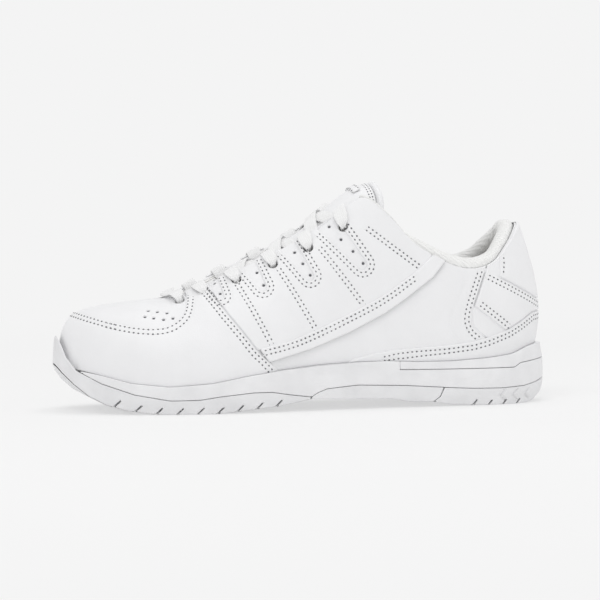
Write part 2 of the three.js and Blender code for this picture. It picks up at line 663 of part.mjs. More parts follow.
function tonguePiece(from, to, reach, innerAt, outerAt) {
  const vs = acrossTongue.map((v) => v * reach);
  return sheet(
    tonguePoint, vs, alongTongue(from, to), (v, u) => innerAt(u), (v, u) => outerAt(u),
  );
}
const tongueShell = tonguePiece(0, 1, 1, () => -OVERLAY, () => 0);
const tongueFoam = tonguePiece(0, 1, 0.94, (u) => tongueUnder(u), () => -OVERLAY - GAP);
const tongueLining = tonguePiece(0, 1, 1, (u) => tongueUnder(u) - GAP - LINING, (u) => tongueUnder(u) - GAP);
addPiece("tongue_shell", tongueShell, COLOURS.leather, 0.5);
addPiece("tongue_foam", tongueFoam, COLOURS.foam, 0.9);
addPiece("tongue_lining", tongueLining, COLOURS.fabric, 0.9);

function bindingRing(v) {
  const depth = -tongueUnder(1) + GAP + LINING;
  const middle = tonguePoint(v, 1, -depth / 2);
  const over = tonguePoint(v, 1, 0).sub(middle).normalize();
  const along = tongueCurve.getTangent(1);
  middle.addScaledVector(along, 2.4 + GAP);
  return steps(0, 2 * Math.PI, 8).slice(0, -1).map((turn) => {
    const point = middle.clone().addScaledVector(over, (depth / 2 + 0.2) * Math.sin(turn));
    return point.addScaledVector(along, 2.4 * Math.cos(turn));
  });
}
addPiece("tongue_binding", loft(steps(-1, 1, 12).map(bindingRing)), COLOURS.fabric, 0.9);
const keeper = sheet(
  tonguePoint, steps(0.34, -0.34, 4), () => steps(0.86, 0.92, 2), () => GAP, () => GAP + OVERLAY,
);
addPiece("lace_keeper", keeper, COLOURS.leather, 0.5);

// Lace: flat runs that cross over the tongue, pass under the far eyestay and come up its next hole.
// Share of the tongue's length that lies at x.
function tongueShare(x) {
  const shares = steps(0, 1, 200);
  return shares.find((u) => tongueCurve.getPoint(u).x >= x) ?? 1;
}
function throatDirection(x) {
  const slope = lineHeight(TONGUE_LINE, x + 4) - lineHeight(TONGUE_LINE, x - 4);
  return vector(8, 0, slope).normalize();
}
function laceStop(place, t, offset, squeeze = 1) {
  return { at: onLayer(place, t, offset), squeeze };
}
// Stops over the tongue on the way from one side at fromX to the other at toX.
function overTongue(side, fromX, toX, rise) {
  return steps(2 / 3, -2 / 3, 4).map((aside) => {
    const x = fromX + ((toX - fromX) * (1 - aside)) / 2;
    return { at: tonguePoint(side * aside, tongueShare(x), rise), squeeze: 1 };
  });
}
const HOLE_SQUEEZE = 0.46;
function upThroughHole(station, side) {
  const place = eyeletAt(station, side);
  return [
    laceStop(place, EYELET_RISE, LACE_UNDER, 0.7),
    laceStop(place, EYELET_RISE, BASE_INNER, HOLE_SQUEEZE),
    laceStop(place, EYELET_RISE, OVERLAY_OUTER, HOLE_SQUEEZE),
    laceStop(place, EYELET_RISE + 0.02, LACE_OVER, 0.8),
  ];
}
function overEdge(station, side) {
  const place = eyeletAt(station, side);
  const edge = onLayer(place, 1, 0);
  const clear = edge.clone().sub(onLayer(place, 0.9, 0)).setLength(LACE_THICKNESS / 2 + LACE_CLEARANCE);
  const corner = (offset) => ({ at: onLayer(place, 1, offset).add(clear), squeeze: 1 });
  return [laceStop(place, 0.93, LACE_OVER), corner(OVERLAY_OUTER), corner(LINING_INNER)];
}
function underEdge(station, side) {
  const place = eyeletAt(station, side);
  return [laceStop(place, 1, LACE_UNDER), laceStop(place, 0.93, LACE_UNDER)];
}
function laceRings(stops, room = 0) {
  const route = new THREE.CatmullRomCurve3(stops.map((stop) => stop.at), false, "centripetal");
  const count = stops.length - 1;
  return steps(0, 1, count).map((share) => {
    const at = route.getPoint(share);
    const tangent = route.getTangent(share);
    const along = throatDirection(at.x);
    const aside = along.addScaledVector(tangent, -along.dot(tangent)).normalize();
    const over = tangent.clone().cross(aside);
    const place = share * (stops.length - 1);
    const i = Math.min(Math.floor(place), stops.length - 2);
    const squeeze = THREE.MathUtils.lerp(stops[i].squeeze, stops[i + 1].squeeze, place - i);
    const w = (LACE_WIDTH / 2) * squeeze + room;
    const h = (LACE_THICKNESS / 2) * (1 + 0.6 * (1 - squeeze)) + room;
    return [[-w, -h], [w, -h], [w, h], [-w, h]].map(([a, b]) => {
      return at.clone().addScaledVector(aside, a).addScaledVector(over, b);
    });
  });
}
const LACE_REST = LACE_THICKNESS / 2 + LACE_CLEARANCE;
const BAR_RISE = 8.5;
const lastEyelet = EYELET_STATIONS.length - 1;
const first = EYELET_STATIONS[0];
const TAIL = [[0.1, 0.74, 0.5], [0.15, 0.62, 1.5], [0.2, 0.5, 3.5]];
function tailStops(side) {
  const top = EYELET_STATIONS[lastEyelet];
  return TAIL.map(([step, t, depth]) => {
    return laceStop(eyeletAt(top + step, side), t, LACE_UNDER - depth, 0.6);
  });
}
// One half of the lace, from the bar in front to its tail: it crosses under the first eyelets,
// then comes up each hole and passes over its own edge and under the far one.
function laceHalf(side) {
  const stops = [...upThroughHole(first, side).reverse(), ...underEdge(first, side).reverse()];
  const lift = side === LATERAL ? LACE_THICKNESS + GAP : 0;
  let near = side;
  for (let k = 0; k < lastEyelet; k += 1) {
    const [from, to] = EYELET_STATIONS.slice(k, k + 2);
    const rise = LACE_REST + (near === LATERAL ? LACE_THICKNESS + GAP : 0);
    stops.push(...overTongue(near, ribTop(from).x, ribTop(to).x, k === 0 ? LACE_REST + lift : rise));
    near = -near;
    if (k + 1 < lastEyelet) {
      stops.push(...underEdge(to, near), ...upThroughHole(to, near), ...overEdge(to, near));
    } else {
      stops.push(...overEdge(to, near).reverse(), ...upThroughHole(to, near).reverse());
      stops.push(...tailStops(near));
    }
  }
  return stops;
}
const bar = [
  laceStop(eyeletAt(first, LATERAL), 0.93, LACE_OVER),
  ...overTongue(LATERAL, ribTop(first).x, ribTop(first).x, BAR_RISE).slice(1, -1),
  laceStop(eyeletAt(first, MEDIAL), 0.93, LACE_OVER),
];
const laceRoute = [...laceHalf(LATERAL).reverse(), ...bar, ...laceHalf(MEDIAL)];

function aglet(side) {
  const [before, end] = tailStops(side).slice(-2).map((stop) => stop.at);
  const along = end.clone().sub(before).normalize();
  const aside = vector(0, 1, 0).cross(along).normalize();
  const across = along.clone().cross(aside);
  const ring = (distance) => steps(0, 2 * Math.PI, 8).slice(0, -1).map((turn) => {
    const point = end.clone().addScaledVector(along, distance);
    point.addScaledVector(aside, (AGLET_DIAMETER / 2) * Math.cos(turn));
    return point.addScaledVector(across, (AGLET_DIAMETER / 2) * Math.sin(turn));
  });
  return loft([ring(0.6), ring(AGLET_LENGTH)]);
}
addPiece("aglet_lateral", aglet(LATERAL), COLOURS.plastic, 0.4);
addPiece("aglet_medial", aglet(MEDIAL), COLOURS.plastic, 0.4);

addPiece("lace", loft(laceRings(laceRoute)), COLOURS.fabric, 0.9);

// The lace beds into the soft pieces it presses on.
const bedRings = laceRings(laceRoute, GAP);
const laceBed = wasm.Manifold.union(bedRings.slice(1).map((ring, i) => {
  return wasm.Manifold.hull([...bedRings[i], ...ring].map((point) => point.toArray()));
}));
const PRESSED = [
  "quarter_lining", "tongue_shell", "tongue_foam", "eyestay_lateral", "eyestay_medial",
  "eyelet_tape_lateral", "eyelet_tape_medial", "mudguard", "vamp_lining", "vamp",
  "quarter_lateral", "quarter_medial",
];
const SMALLEST_EDGE = 0.02;
for (const name of PRESSED) {
  const piece = pieces.get(name);
  const bodies = piece.solid.subtract(laceBed).simplify(SMALLEST_EDGE).decompose();
  piece.solid = bodies.reduce((most, body) => (body.volume() > most.volume() ? body : most));
}

for (const [name, piece] of pieces) {
  const mesh = piece.solid.simplify(SMALLEST_EDGE).getMesh();
  const geometry = new THREE.BufferGeometry();
  geometry.setAttribute("position", new THREE.BufferAttribute(mesh.vertProperties, 3));
  geometry.setIndex(new THREE.BufferAttribute(mesh.triVerts, 1));
  geometry.computeVertexNormals();
  const { colour: color, roughness } = piece;
  const placed = new THREE.Mesh(geometry, new THREE.MeshStandardMaterial({ color, roughness }));
  placed.name = name;
  group.add(placed);
}

export default group;
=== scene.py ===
"""Looks of the cheer trainer: smooth leather panels, stitching, woven lace and a moulded sole.

Every shape is worked out in millimetres on the same ribs as the CAD upper, then written in metres.
"""

import json
import math

import bpy
import numpy as np
from mathutils import Matrix, Vector, kdtree


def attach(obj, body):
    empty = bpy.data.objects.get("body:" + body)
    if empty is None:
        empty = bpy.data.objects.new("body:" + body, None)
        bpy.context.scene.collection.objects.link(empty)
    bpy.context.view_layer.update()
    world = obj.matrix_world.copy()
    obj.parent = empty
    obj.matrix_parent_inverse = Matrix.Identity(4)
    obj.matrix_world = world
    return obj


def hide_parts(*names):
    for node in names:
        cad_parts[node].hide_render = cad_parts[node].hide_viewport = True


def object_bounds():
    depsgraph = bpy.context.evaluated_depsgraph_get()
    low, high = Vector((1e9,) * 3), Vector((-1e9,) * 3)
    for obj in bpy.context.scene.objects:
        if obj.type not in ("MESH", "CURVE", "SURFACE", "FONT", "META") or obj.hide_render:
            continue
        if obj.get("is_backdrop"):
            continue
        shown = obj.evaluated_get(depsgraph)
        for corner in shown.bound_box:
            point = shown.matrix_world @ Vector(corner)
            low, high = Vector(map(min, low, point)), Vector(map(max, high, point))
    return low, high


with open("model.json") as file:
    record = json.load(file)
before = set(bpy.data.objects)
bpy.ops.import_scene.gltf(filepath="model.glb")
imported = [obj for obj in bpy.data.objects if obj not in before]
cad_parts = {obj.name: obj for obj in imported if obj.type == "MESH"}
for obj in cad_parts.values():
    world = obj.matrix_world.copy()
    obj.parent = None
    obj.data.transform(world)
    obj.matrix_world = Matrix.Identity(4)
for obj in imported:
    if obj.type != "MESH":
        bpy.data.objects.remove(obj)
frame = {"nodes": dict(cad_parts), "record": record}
CAD_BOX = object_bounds()
MM = 0.001

# The size the tables below are drawn at, and the frame's size beside it.
DRAWN_SIZE = (267.9, 94.2, 119.6)
LONG, WIDE, TALL = (
    (high - low) / MM / drawn for low, high, drawn in zip(CAD_BOX[0], CAD_BOX[1], DRAWN_SIZE)
)

# Ribs of the upper from toe (0) to heel (16) and back (32): foot x, foot y on the lateral and the
# medial side, top x, top centre y, top z, half opening, and the swell low down and near the top.
STATIONS = np.array([
    [-129, 6, 6, -112, 4, 54.5, 0, 2, 0.75, 10, 0],
    [-124, -12.5, 22, -107, 3, 55.6, 0, 2, 0.72, 13, 0],
    [-107, -28, 33.5, -97, 2, 57, 0, 2.5, 0.66, 19, 0],
    [-86, -37.5, 42, -82, 1, 58.5, 0, 3, 0.6, 23, 0],
    [-60, -42.5, 43.5, -70, 0, 60.5, 8, 3.5, 0.5, 19, 0.04],
    [-38, -42, 41, -54, 0, 67, 14, 4.5, 0.4, 15, 0.08],
    [-16, -39, 36.5, -29, 0, 78.5, 17.5, 5, 0.34, 13, 0.11],
    [7, -35.5, 31.5, -3, 0, 91, 18.5, 5, 0.32, 11, 0.13],
    [28, -33, 28.5, 20, 0, 106.5, 20, 5, 0.3, 9, 0.16],
    [38, -32, 28, 30, 0, 111, 21.5, 5, 0.3, 7, 0.22],
    [50, -31.5, 28, 42.5, 0, 101, 25, 5, 0.3, 4, 0.28],
    [64, -31, 28.5, 57, 0, 85.5, 28.5, 4.5, 0.32, 3, 0.3],
    [82, -31, 29, 80, 0, 74, 30.5, 4.5, 0.33, 2.5, 0.3],
    [100, -29, 27, 97.5, 0, 75.5, 27, 5, 0.33, 3, 0.3],
    [114, -22.5, 21, 109, 0, 85.5, 19.5, 6, 0.33, 4.5, 0.3],
    [124.5, -12, 11.5, 117, 0, 95, 10, 7, 0.33, 6, 0.3],
    [127.5, 0, 0, 120, 0, 97, 0, 7, 0.33, 6.5, 0.3],
])
HEEL = len(STATIONS) - 1
AROUND = 2 * HEEL
THROAT = 3
LATERAL = -1
MEDIAL = 1

# Side view lines, [x, z] in drawn millimetres.
FEATHER_LINE = [
    [-140, 28], [-129, 24], [-114, 20.5], [-99, 16.4], [-80, 14.5], [-58, 16], [-40, 19.2],
    [-22, 21.8], [0, 24], [20, 25], [38, 25.1], [56, 24.2], [74, 24.2], [95, 25.5],
    [109, 27], [119, 30.4], [127, 31.8], [140, 32],
]
FORE_UNDERSIDE = [
    [-139, 34], [-135.4, 30], [-134, 25], [-131.3, 20.7], [-126.5, 15.2], [-120, 9.6],
    [-111.5, 5], [-102, 2.3], [-90, 0.5], [-78, 0], [-58, 0], [-43.5, 1.1], [-31, 2.4],
    [-22, 3.2], [-13, 4.8], [-4.6, 6.3],
]
FORE_OUTSOLE_TOP = [
    [-4.6, 7.3], [-17, 9], [-26, 10.5], [-36, 10.6], [-54, 9], [-65, 7.4], [-80, 7.2],
    [-98, 10.4], [-114, 16], [-125.5, 22.5], [-129.8, 29], [-132.8, 40], [-139, 41],
]
STRIP_TOP = [[-4.3, 7.3], [-1, 9.4], [4.3, 11.3], [21.5, 12.7], [48, 11.7], [69.2, 10.2]]
STRIP_UNDERSIDE = [[67.2, 5.4], [63.8, 2.8], [50.5, 3], [42, 4.8], [17, 5.5], [-4.3, 6.3]]
POD_TOP = [[69.6, 10.1], [86, 9.2], [102, 8.9], [116.7, 9.5], [124.5, 10.9], [138, 14.5]]
POD_UNDERSIDE = [
    [133.6, 13], [132.4, 10], [129.3, 5.4], [123.5, 1.4], [117, 0], [94, 0], [73, 1.1],
    [64.1, 2.7], [67.6, 5.4],
]
HEEL_BACK = [[133.9, 15.2], [134, 20.5], [132.9, 23.9], [130.8, 26.8], [129.4, 31.9]]
LEDGE_LINE = [[45, 20.2], [60, 19.9], [110, 19.7], [114, 21.9], [132.9, 23.9]]
MUDGUARD_EDGE = [
    [-140, 56], [-127, 54.6], [-119, 51.6], [-110, 48.8], [-101, 46.6], [-93.5, 45.4],
    [-85.5, 44.9], [-79, 45.8], [-73.8, 48.5], [-70.2, 52], [-68.3, 56], [-66.6, 61], [-66, 75],
]
MUDGUARD_BACK = [[-60, 75], [-58, 68], [-48, 51.7], [-34, 32.7], [-22, 21.7], [-20, 5]]
BAND_TOP = [
    [-32.6, 33.4], [-16, 37], [0, 42.8], [25, 54], [37, 60], [53.5, 71], [66, 82],
]
BAND_BOTTOM = [
    [75, 82], [64, 69], [49, 58], [37, 50.2], [17, 40.6], [-4, 32.6], [-23, 27.4],
    [-27.4, 26.2],
]
FOXING_EDGE = [
    [14, 20], [18, 25.8], [30.7, 29], [43.5, 30.8], [69.7, 32.2], [86, 34], [94.3, 36],
    [107, 40.3], [115.5, 44.3], [123, 48.4], [140, 50.4],
]
QUARTER_BACK = [[96, 78], [95.4, 74.6], [85.2, 50.2], [85.2, 42.4], [93.3, 35.7], [93.3, 10]]
STRAP_EDGE = [
    [86.9, 53], [94.6, 71.5], [128.4, 55], [140, 54.6], [140, 51], [123, 49], [115.5, 44.9],
    [107, 40.9], [104.5, 39.9],
]
TAB_EDGE = [[140, 55.2], [128.8, 55.6], [102.5, 68.5], [103.5, 74.5], [104.5, 140], [140, 140]]
# Windows of the eyestay: middle of the upper end, middle of the lower end, width.
WINDOWS = [
    [-53, 69.8, -50.1, 61, 6.8],
    [-34.5, 78.2, -28.3, 65.3, 9.4],
    [-14.9, 90.4, -3, 70.5, 10.2],
    [8.2, 98.7, 25.6, 76, 11.4],
]
# Perforations: in the vamp beside the toe, and in each window.
PERFORATIONS = [
    [-89.5, 50.4], [-85.2, 49.7], [-80.4, 49], [-75.6, 49.6],
    [-87, 53.3], [-82.6, 52.8], [-78, 52.2],
    [-51.3, 67], [-49.7, 61.9],
    [-31.8, 79], [-29.7, 72.6], [-27.2, 66.1],
    [-11.6, 87.8], [-9, 82.9], [-5.5, 77], [-2.2, 71],
    [10.1, 96.2], [15.5, 89.4], [21.4, 83.1], [26.5, 76.7],
]

# Layers of the upper, in millimetres from the outside of its base leather.
LEATHER = 1.4
OVERLAY_OUTER = 1.2
BAND_OUTER = 2.3
LINING_INNER = -3.5
COLLAR_PADDING = 5
EYELET_RADIUS = 2.5
EYELET_STATIONS = [4.0, 4.75, 5.5, 6.25, 7.0, 7.8]
EYELET_RISE = 0.84
LACE_WIDTH = 7.4
LACE_THICKNESS = 1
LACE_CLEARANCE = 1.05
LACE_UNDER = LINING_INNER - LACE_THICKNESS / 2 - LACE_CLEARANCE
LACE_OVER = OVERLAY_OUTER + LACE_THICKNESS / 2 + LACE_CLEARANCE


def scaled(line):
    return np.array(line, float) * (LONG, TALL)


def line_height(line, x):
    at = scaled(line)
    return np.interp(x, at[:, 0], at[:, 1])


def station(p, column):
    at = np.mod(p, AROUND)
    i = np.floor(at).astype(int)
    f = at - i

    def value(k):
        place = np.mod(k, AROUND)
        lateral = place <= HEEL
        row = np.where(lateral, place, AROUND - place)
        if column == 1:
            return np.where(lateral, STATIONS[row, 1], STATIONS[row, 2])
        return STATIONS[row, column]

    a, b, c, d = (value(i + k) for k in (-1, 0, 1, 2))
    cubic = (3 * (b - c) + d - a) * f**3
    square = (2 * a - 5 * b + 4 * c - d) * f**2
    return b + 0.5 * ((c - a) * f + square + cubic)


def unit(v):
    return v / np.maximum(np.linalg.norm(v, axis=-1, keepdims=True), 1e-9)


def rib_foot(p):
    x = station(p, 0) * LONG
    return np.stack([x, station(p, 1) * WIDE, line_height(FEATHER_LINE, x)], -1)


def outward(p):
    along = rib_foot(p + 0.05) - rib_foot(p - 0.05)
    return unit(np.stack([along[..., 1], -along[..., 0], 0 * along[..., 0]], -1))


def from_toe(p):
    at = np.mod(p, AROUND)
    return np.minimum(at, AROUND - at)


def half_opening(p):
    return np.where(from_toe(p) <= THROAT, 0, np.maximum(station(p, 6), 0) * WIDE)


def rib_top(p):
    side = np.where(np.mod(p, AROUND) <= HEEL, LATERAL, MEDIAL)
    y = station(p, 4) * WIDE + side * half_opening(p)
    return np.stack([station(p, 3) * LONG, y, station(p, 5) * TALL], -1)


UP = np.array([0, 0, 1.0])


def surface(p, t):
    """The outside of the base leather, from the sole line (t = 0) to the top edge (t = 1)."""
    foot, top, out = rib_foot(p), rib_top(p), outward(p)
    rise = (top - foot)[..., 2:]
    column = lambda k: station(p, k)[..., None]
    low = foot + out * column(7) * WIDE + UP * rise * column(8)
    high = top + out * column(9) * WIDE - UP * rise * column(10)
    t = t[..., None]
    s = 1 - t
    return foot * s**3 + low * 3 * s**2 * t + high * 3 * s * t**2 + top * t**3


def normal(p, t):
    inside = np.clip(t, 0.03, 0.96)
    along = surface(p + 0.04, inside) - surface(p - 0.04, inside)
    up = surface(p, inside + 0.03) - surface(p, inside - 0.03)
    return unit(np.cross(along, up))


def shared_normal(p, t):
    """The normal, shared by both sides where they meet on the ridge of the toe."""
    own = normal(p, t)
    ridge = np.clip((t - 0.82) / 0.18, 0, 1) * (half_opening(p) == 0)
    other = normal(-p, t)
    return unit(own + other * (ridge**2)[..., None])


def layer_point(p, t, offset):
    p, t = np.broadcast_arrays(np.asarray(p, float), np.asarray(t, float))
    offset = np.broadcast_to(np.asarray(offset, float), p.shape)
    point = surface(p, t) + shared_normal(p, t) * offset[..., None]
    level = np.clip(1 - t * 12, 0, 1)
    point[..., 2] += (line_height(FEATHER_LINE, point[..., 0]) - point[..., 2]) * level**2
    return point


def smoothstep(x, low, high):
    s = np.clip((x - low) / (high - low), 0, 1)
    return s * s * (3 - 2 * s)


def inside_distance(outline, x, z):
    """Distance of points from a closed side view outline, positive inside it."""
    corners = scaled(outline)
    nearest = np.full(np.shape(x), 1e9)
    crossings = np.zeros(np.shape(x), int)
    for (x0, z0), (x1, z1) in zip(corners, np.roll(corners, -1, 0)):
        dx, dz = x1 - x0, z1 - z0
        share = np.clip(((x - x0) * dx + (z - z0) * dz) / max(dx * dx + dz * dz, 1e-9), 0, 1)
        nearest = np.minimum(nearest, np.hypot(x - x0 - share * dx, z - z0 - share * dz))
        between = (z0 > z) != (z1 > z)
        reach = x0 + (z - z0) * dx / (dz if abs(dz) > 1e-9 else 1e-9)
        crossings += between & (x < reach)
    return np.where(crossings % 2 == 1, nearest, -nearest)


def split(V, F, f, level):
    """Cuts triangles along the line where f equals level. V holds one row of values a vertex."""
    g = f - level
    g = np.where(np.abs(g) < 1e-3, 0.0, g)
    sign = np.sign(g)
    ends = np.stack([F, np.roll(F, -1, 1)], -1)
    crossed = sign[ends[..., 0]] * sign[ends[..., 1]] < 0
    pairs = np.sort(ends[crossed], 1)
    if not len(pairs):
        return V, F, f
    edges, index = np.unique(pairs, axis=0, return_inverse=True)
    a, b = edges.T
    share = (g[a] / (g[a] - g[b]))[:, None]
    middle = np.full(crossed.shape, -1)
    middle[crossed] = index.reshape(-1) + len(V)
    V = np.vstack([V, V[a] + (V[b] - V[a]) * share])
    f = np.concatenate([f, np.full(len(edges), float(level))])
    count = crossed.sum(1)
    parts = [F[count == 0]]
    for k in range(3):
        one = (count == 1) & crossed[:, k]
        p0, p1, p2 = F[one, k], F[one, (k + 1) % 3], F[one, (k + 2) % 3]
        m = middle[one, k]
        parts += [np.stack([p0, m, p2], 1), np.stack([m, p1, p2], 1)]
        two = (count == 2) & crossed[:, k] & crossed[:, (k + 2) % 3]
        p0, p1, p2 = F[two, k], F[two, (k + 1) % 3], F[two, (k + 2) % 3]
        m, n = middle[two, k], middle[two, (k + 2) % 3]
        parts += [np.stack(c, 1) for c in ((p0, m, n), (m, p1, p2), (m, p2, n))]
    return V, np.vstack(parts), f


def refine(V, F, chosen):
    """Splits the chosen triangles in four, and their neighbours so that no edge is left open."""
    ends = np.sort(np.stack([F, np.roll(F, -1, 1)], -1), -1)
    key = ends[..., 0].astype(np.int64) * len(V) + ends[..., 1]
    wanted = np.unique(key[chosen])
    place = np.searchsorted(wanted, key)
    place = np.minimum(place, len(wanted) - 1)
    cut = wanted[place] == key
    middle = np.where(cut, place + len(V), -1)
    V = np.vstack([V, (V[wanted // len(V)] + V[wanted % len(V)]) / 2])
    count = cut.sum(1)
    parts = [F[count == 0]]
    all_cut = count == 3
    a, b, c = F[all_cut].T
    ab, bc, ca = middle[all_cut].T
    parts += [np.stack(q, 1) for q in ((a, ab, ca), (ab, b, bc), (ca, bc, c), (ab, bc, ca))]
    for k in range(3):
        one = (count == 1) & cut[:, k]
        a, b, c = (F[one, (k + j) % 3] for j in range(3))
        m = middle[one, k]
        parts += [np.stack([a, m, c], 1), np.stack([m, b, c], 1)]
        two = (count == 2) & cut[:, k] & cut[:, (k + 1) % 3]
        a, b, c = (F[two, (k + j) % 3] for j in range(3))
        m, n = middle[two, k], middle[two, (k + 1) % 3]
        parts += [np.stack(q, 1) for q in ((m, b, n), (a, m, n), (a, n, c))]
    return V, np.vstack(parts)


def grid(rows, columns):
    """Vertices (row value, column value) and triangles of a grid."""
    V = np.stack(np.meshgrid(rows, columns, indexing="ij"), -1).reshape(-1, 2)
    n = len(columns)
    i, j = np.meshgrid(np.arange(len(rows) - 1), np.arange(n - 1), indexing="ij")
    a = (i * n + j).reshape(-1)
    b, c, d = a + n, a + n + 1, a + 1
    return V, np.vstack([np.stack([a, b, c], 1), np.stack([a, c, d], 1)])


def round_edge(f, radius):
    """0 at a cut edge and 1 beyond its rounding."""
    return np.sqrt(np.maximum(1 - (1 - np.clip(f / radius, 0, 1)) ** 2, 0))


def merged(points, F):
    """Joins vertices that lie together and drops what is left unused."""
    keys = np.round(points / 0.004).astype(np.int64)
    _, first, index = np.unique(keys, axis=0, return_index=True, return_inverse=True)
    F = index.reshape(-1)[F]
    sound = (F[:, 0] != F[:, 1]) & (F[:, 1] != F[:, 2]) & (F[:, 0] != F[:, 2])
    F = F[sound]
    used = np.unique(F)
    renumber = np.full(len(first), -1)
    renumber[used] = np.arange(len(used))
    return points[first[used]], renumber[F]


def make(name, points, faces, material, body="shoe", stands_for=()):
    """A smooth mesh object from points in millimetres."""
    mesh = bpy.data.meshes.new(name)
    if isinstance(faces, np.ndarray):
        mesh.vertices.add(len(points))
        mesh.vertices.foreach_set("co", (points * MM).astype(np.float32).reshape(-1))
        mesh.loops.add(faces.size)
        mesh.loops.foreach_set("vertex_index", faces.astype(np.int32).reshape(-1))
        mesh.polygons.add(len(faces))
        starts = np.arange(len(faces), dtype=np.int32) * faces.shape[1]
        mesh.polygons.foreach_set("loop_start", starts)
        mesh.update(calc_edges=True)
        mesh.validate()
    else:
        mesh.from_pydata([tuple(p) for p in np.asarray(points) * MM], [], faces)
    mesh.shade_smooth()
    mesh.materials.append(material)
    obj = bpy.data.objects.new(name, mesh)
    bpy.context.scene.collection.objects.link(obj)
    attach(obj, body)
    if stands_for:
        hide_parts(*stands_for)
    return obj


# Materials ---------------------------------------------------------------------------------


def node_material(name, roughness=0.5, sheen=0.0, coat=0.0):
    material = bpy.data.materials.new(name)
    material.use_nodes = True
    tree = material.node_tree
    shader = tree.nodes["Principled BSDF"]
    shader.inputs["Roughness"].default_value = roughness
    shader.inputs["Sheen Weight"].default_value = sheen
    shader.inputs["Coat Weight"].default_value = coat
    shader.inputs["Coat Roughness"].default_value = 0.35
    return material, tree, shader


def texture(tree, kind, scale, coordinate="Object", **settings):
    node = tree.nodes.new(kind)
    node.inputs["Scale"].default_value = scale
    for key, value in settings.items():
        if key in node.inputs:
            node.inputs[key].default_value = value
        else:
            setattr(node, key, value)
    source = tree.nodes.new("ShaderNodeTexCoord")
    tree.links.new(source.outputs[coordinate], node.inputs["Vector"])
    return node


def ramp(tree, value, low, high, colours):
    node = tree.nodes.new("ShaderNodeValToRGB")
    node.color_ramp.elements[0].position = low
    node.color_ramp.elements[1].position = high
    for element, colour in zip(node.color_ramp.elements, colours):
        element.color = (*colour, 1)
    tree.links.new(value, node.inputs["Fac"])
    return node.outputs["Color"]


def add_bump(tree, shader, height, strength, distance):
    """Adds one more layer of relief; distance is in millimetres."""
    bump = tree.nodes.new("ShaderNodeBump")
    bump.inputs["Strength"].default_value = strength
    bump.inputs["Distance"].default_value = distance * MM
    tree.links.new(height, bump.inputs["Height"])
    before = shader.inputs["Normal"].links
    if before:
        tree.links.new(before[0].from_socket, bump.inputs["Normal"])
    tree.links.new(bump.outputs["Normal"], shader.inputs["Normal"])


def varied(tree, shader, scale, dark, light, rough_low, rough_high):
    """Soft blotches of colour and of roughness."""
    noise = texture(tree, "ShaderNodeTexNoise", scale, Detail=5.0)
    colour = ramp(tree, noise.outputs["Fac"], 0.32, 0.68, (dark, light))
    tree.links.new(colour, shader.inputs["Base Color"])
    spread = tree.nodes.new("ShaderNodeMapRange")
    spread.inputs["To Min"].default_value = rough_low
    spread.inputs["To Max"].default_value = rough_high
    tree.links.new(noise.outputs["Fac"], spread.inputs["Value"])
    tree.links.new(spread.outputs["Result"], shader.inputs["Roughness"])


def leather_material(name, dark, light):
    material, tree, shader = node_material(name, coat=0.08)
    varied(tree, shader, 55, dark, light, 0.44, 0.54)
    grain = texture(tree, "ShaderNodeTexVoronoi", 1500, feature="F1")
    add_bump(tree, shader, grain.outputs["Distance"], 0.22, 0.12)
    creases = texture(tree, "ShaderNodeTexNoise", 240, Detail=6.0, Roughness=0.6)
    add_bump(tree, shader, creases.outputs["Fac"], 0.25, 0.25)
    return material


def moulded_material(name, dark, light, rough, speckle):
    material, tree, shader = node_material(name)
    varied(tree, shader, 80, dark, light, rough - 0.06, rough + 0.08)
    fine = texture(tree, "ShaderNodeTexNoise", speckle, Detail=3.0)
    add_bump(tree, shader, fine.outputs["Fac"], 0.3, 0.08)
    return material


def mesh_material(name, dark, light, scale, ribs):
    """A knitted lining: rows of small round openings along slanting ribs."""
    material, tree, shader = node_material(name, 0.85, sheen=0.3)
    cells = texture(tree, "ShaderNodeTexVoronoi", scale, feature="F1", Randomness=0.25)
    # The colour is darker in the openings, where the bump below sinks in: painted shade.
    colour = ramp(tree, cells.outputs["Distance"], 0.12, 0.42, (dark, light))
    tree.links.new(colour, shader.inputs["Base Color"])
    rows = texture(tree, "ShaderNodeTexWave", ribs, bands_direction="DIAGONAL", Distortion=0.6)
    add_bump(tree, shader, rows.outputs["Fac"], 0.6, 0.35)
    add_bump(tree, shader, cells.outputs["Distance"], 0.7, 0.3)
    fibres = texture(tree, "ShaderNodeTexNoise", 2600, Detail=3.0)
    add_bump(tree, shader, fibres.outputs["Fac"], 0.3, 0.1)
    return material


def webbing_material(name):
    """A flat woven lace: slanting yarns that meet along its middle, by the lace's own length."""
    material, tree, shader = node_material(name, 0.82, sheen=0.25)
    split_uv = tree.nodes.new("ShaderNodeSeparateXYZ")
    source = tree.nodes.new("ShaderNodeTexCoord")
    tree.links.new(source.outputs["UV"], split_uv.inputs["Vector"])

    def math_node(operation, first, second=None):
        node = tree.nodes.new("ShaderNodeMath")
        node.operation = operation
        for value, socket in ((first, node.inputs[0]), (second, node.inputs[1])):
            if value is None:
                continue
            if isinstance(value, (int, float)):
                socket.default_value = value
            else:
                tree.links.new(value, socket)
        return node.outputs[0]

    aside = math_node("ABSOLUTE", split_uv.outputs["Y"])
    slant = math_node("ADD", split_uv.outputs["X"], math_node("MULTIPLY", aside, 0.8))
    yarns = math_node("SINE", math_node("MULTIPLY", slant, 2 * math.pi / 1.05))
    rows = math_node("SINE", math_node("MULTIPLY", split_uv.outputs["Y"], 2 * math.pi / 1.1))
    weave = math_node("ADD", yarns, math_node("MULTIPLY", rows, 0.5))
    height = math_node("ADD", math_node("MULTIPLY", weave, 0.33), 0.5)
    # The colour is darker where the weave lies low: painted shade between the yarns.
    colour = ramp(tree, height, 0.1, 0.75, ((0.8, 0.8, 0.8), (0.89, 0.89, 0.89)))
    tree.links.new(colour, shader.inputs["Base Color"])
    add_bump(tree, shader, height, 0.7, 0.16)
    return material


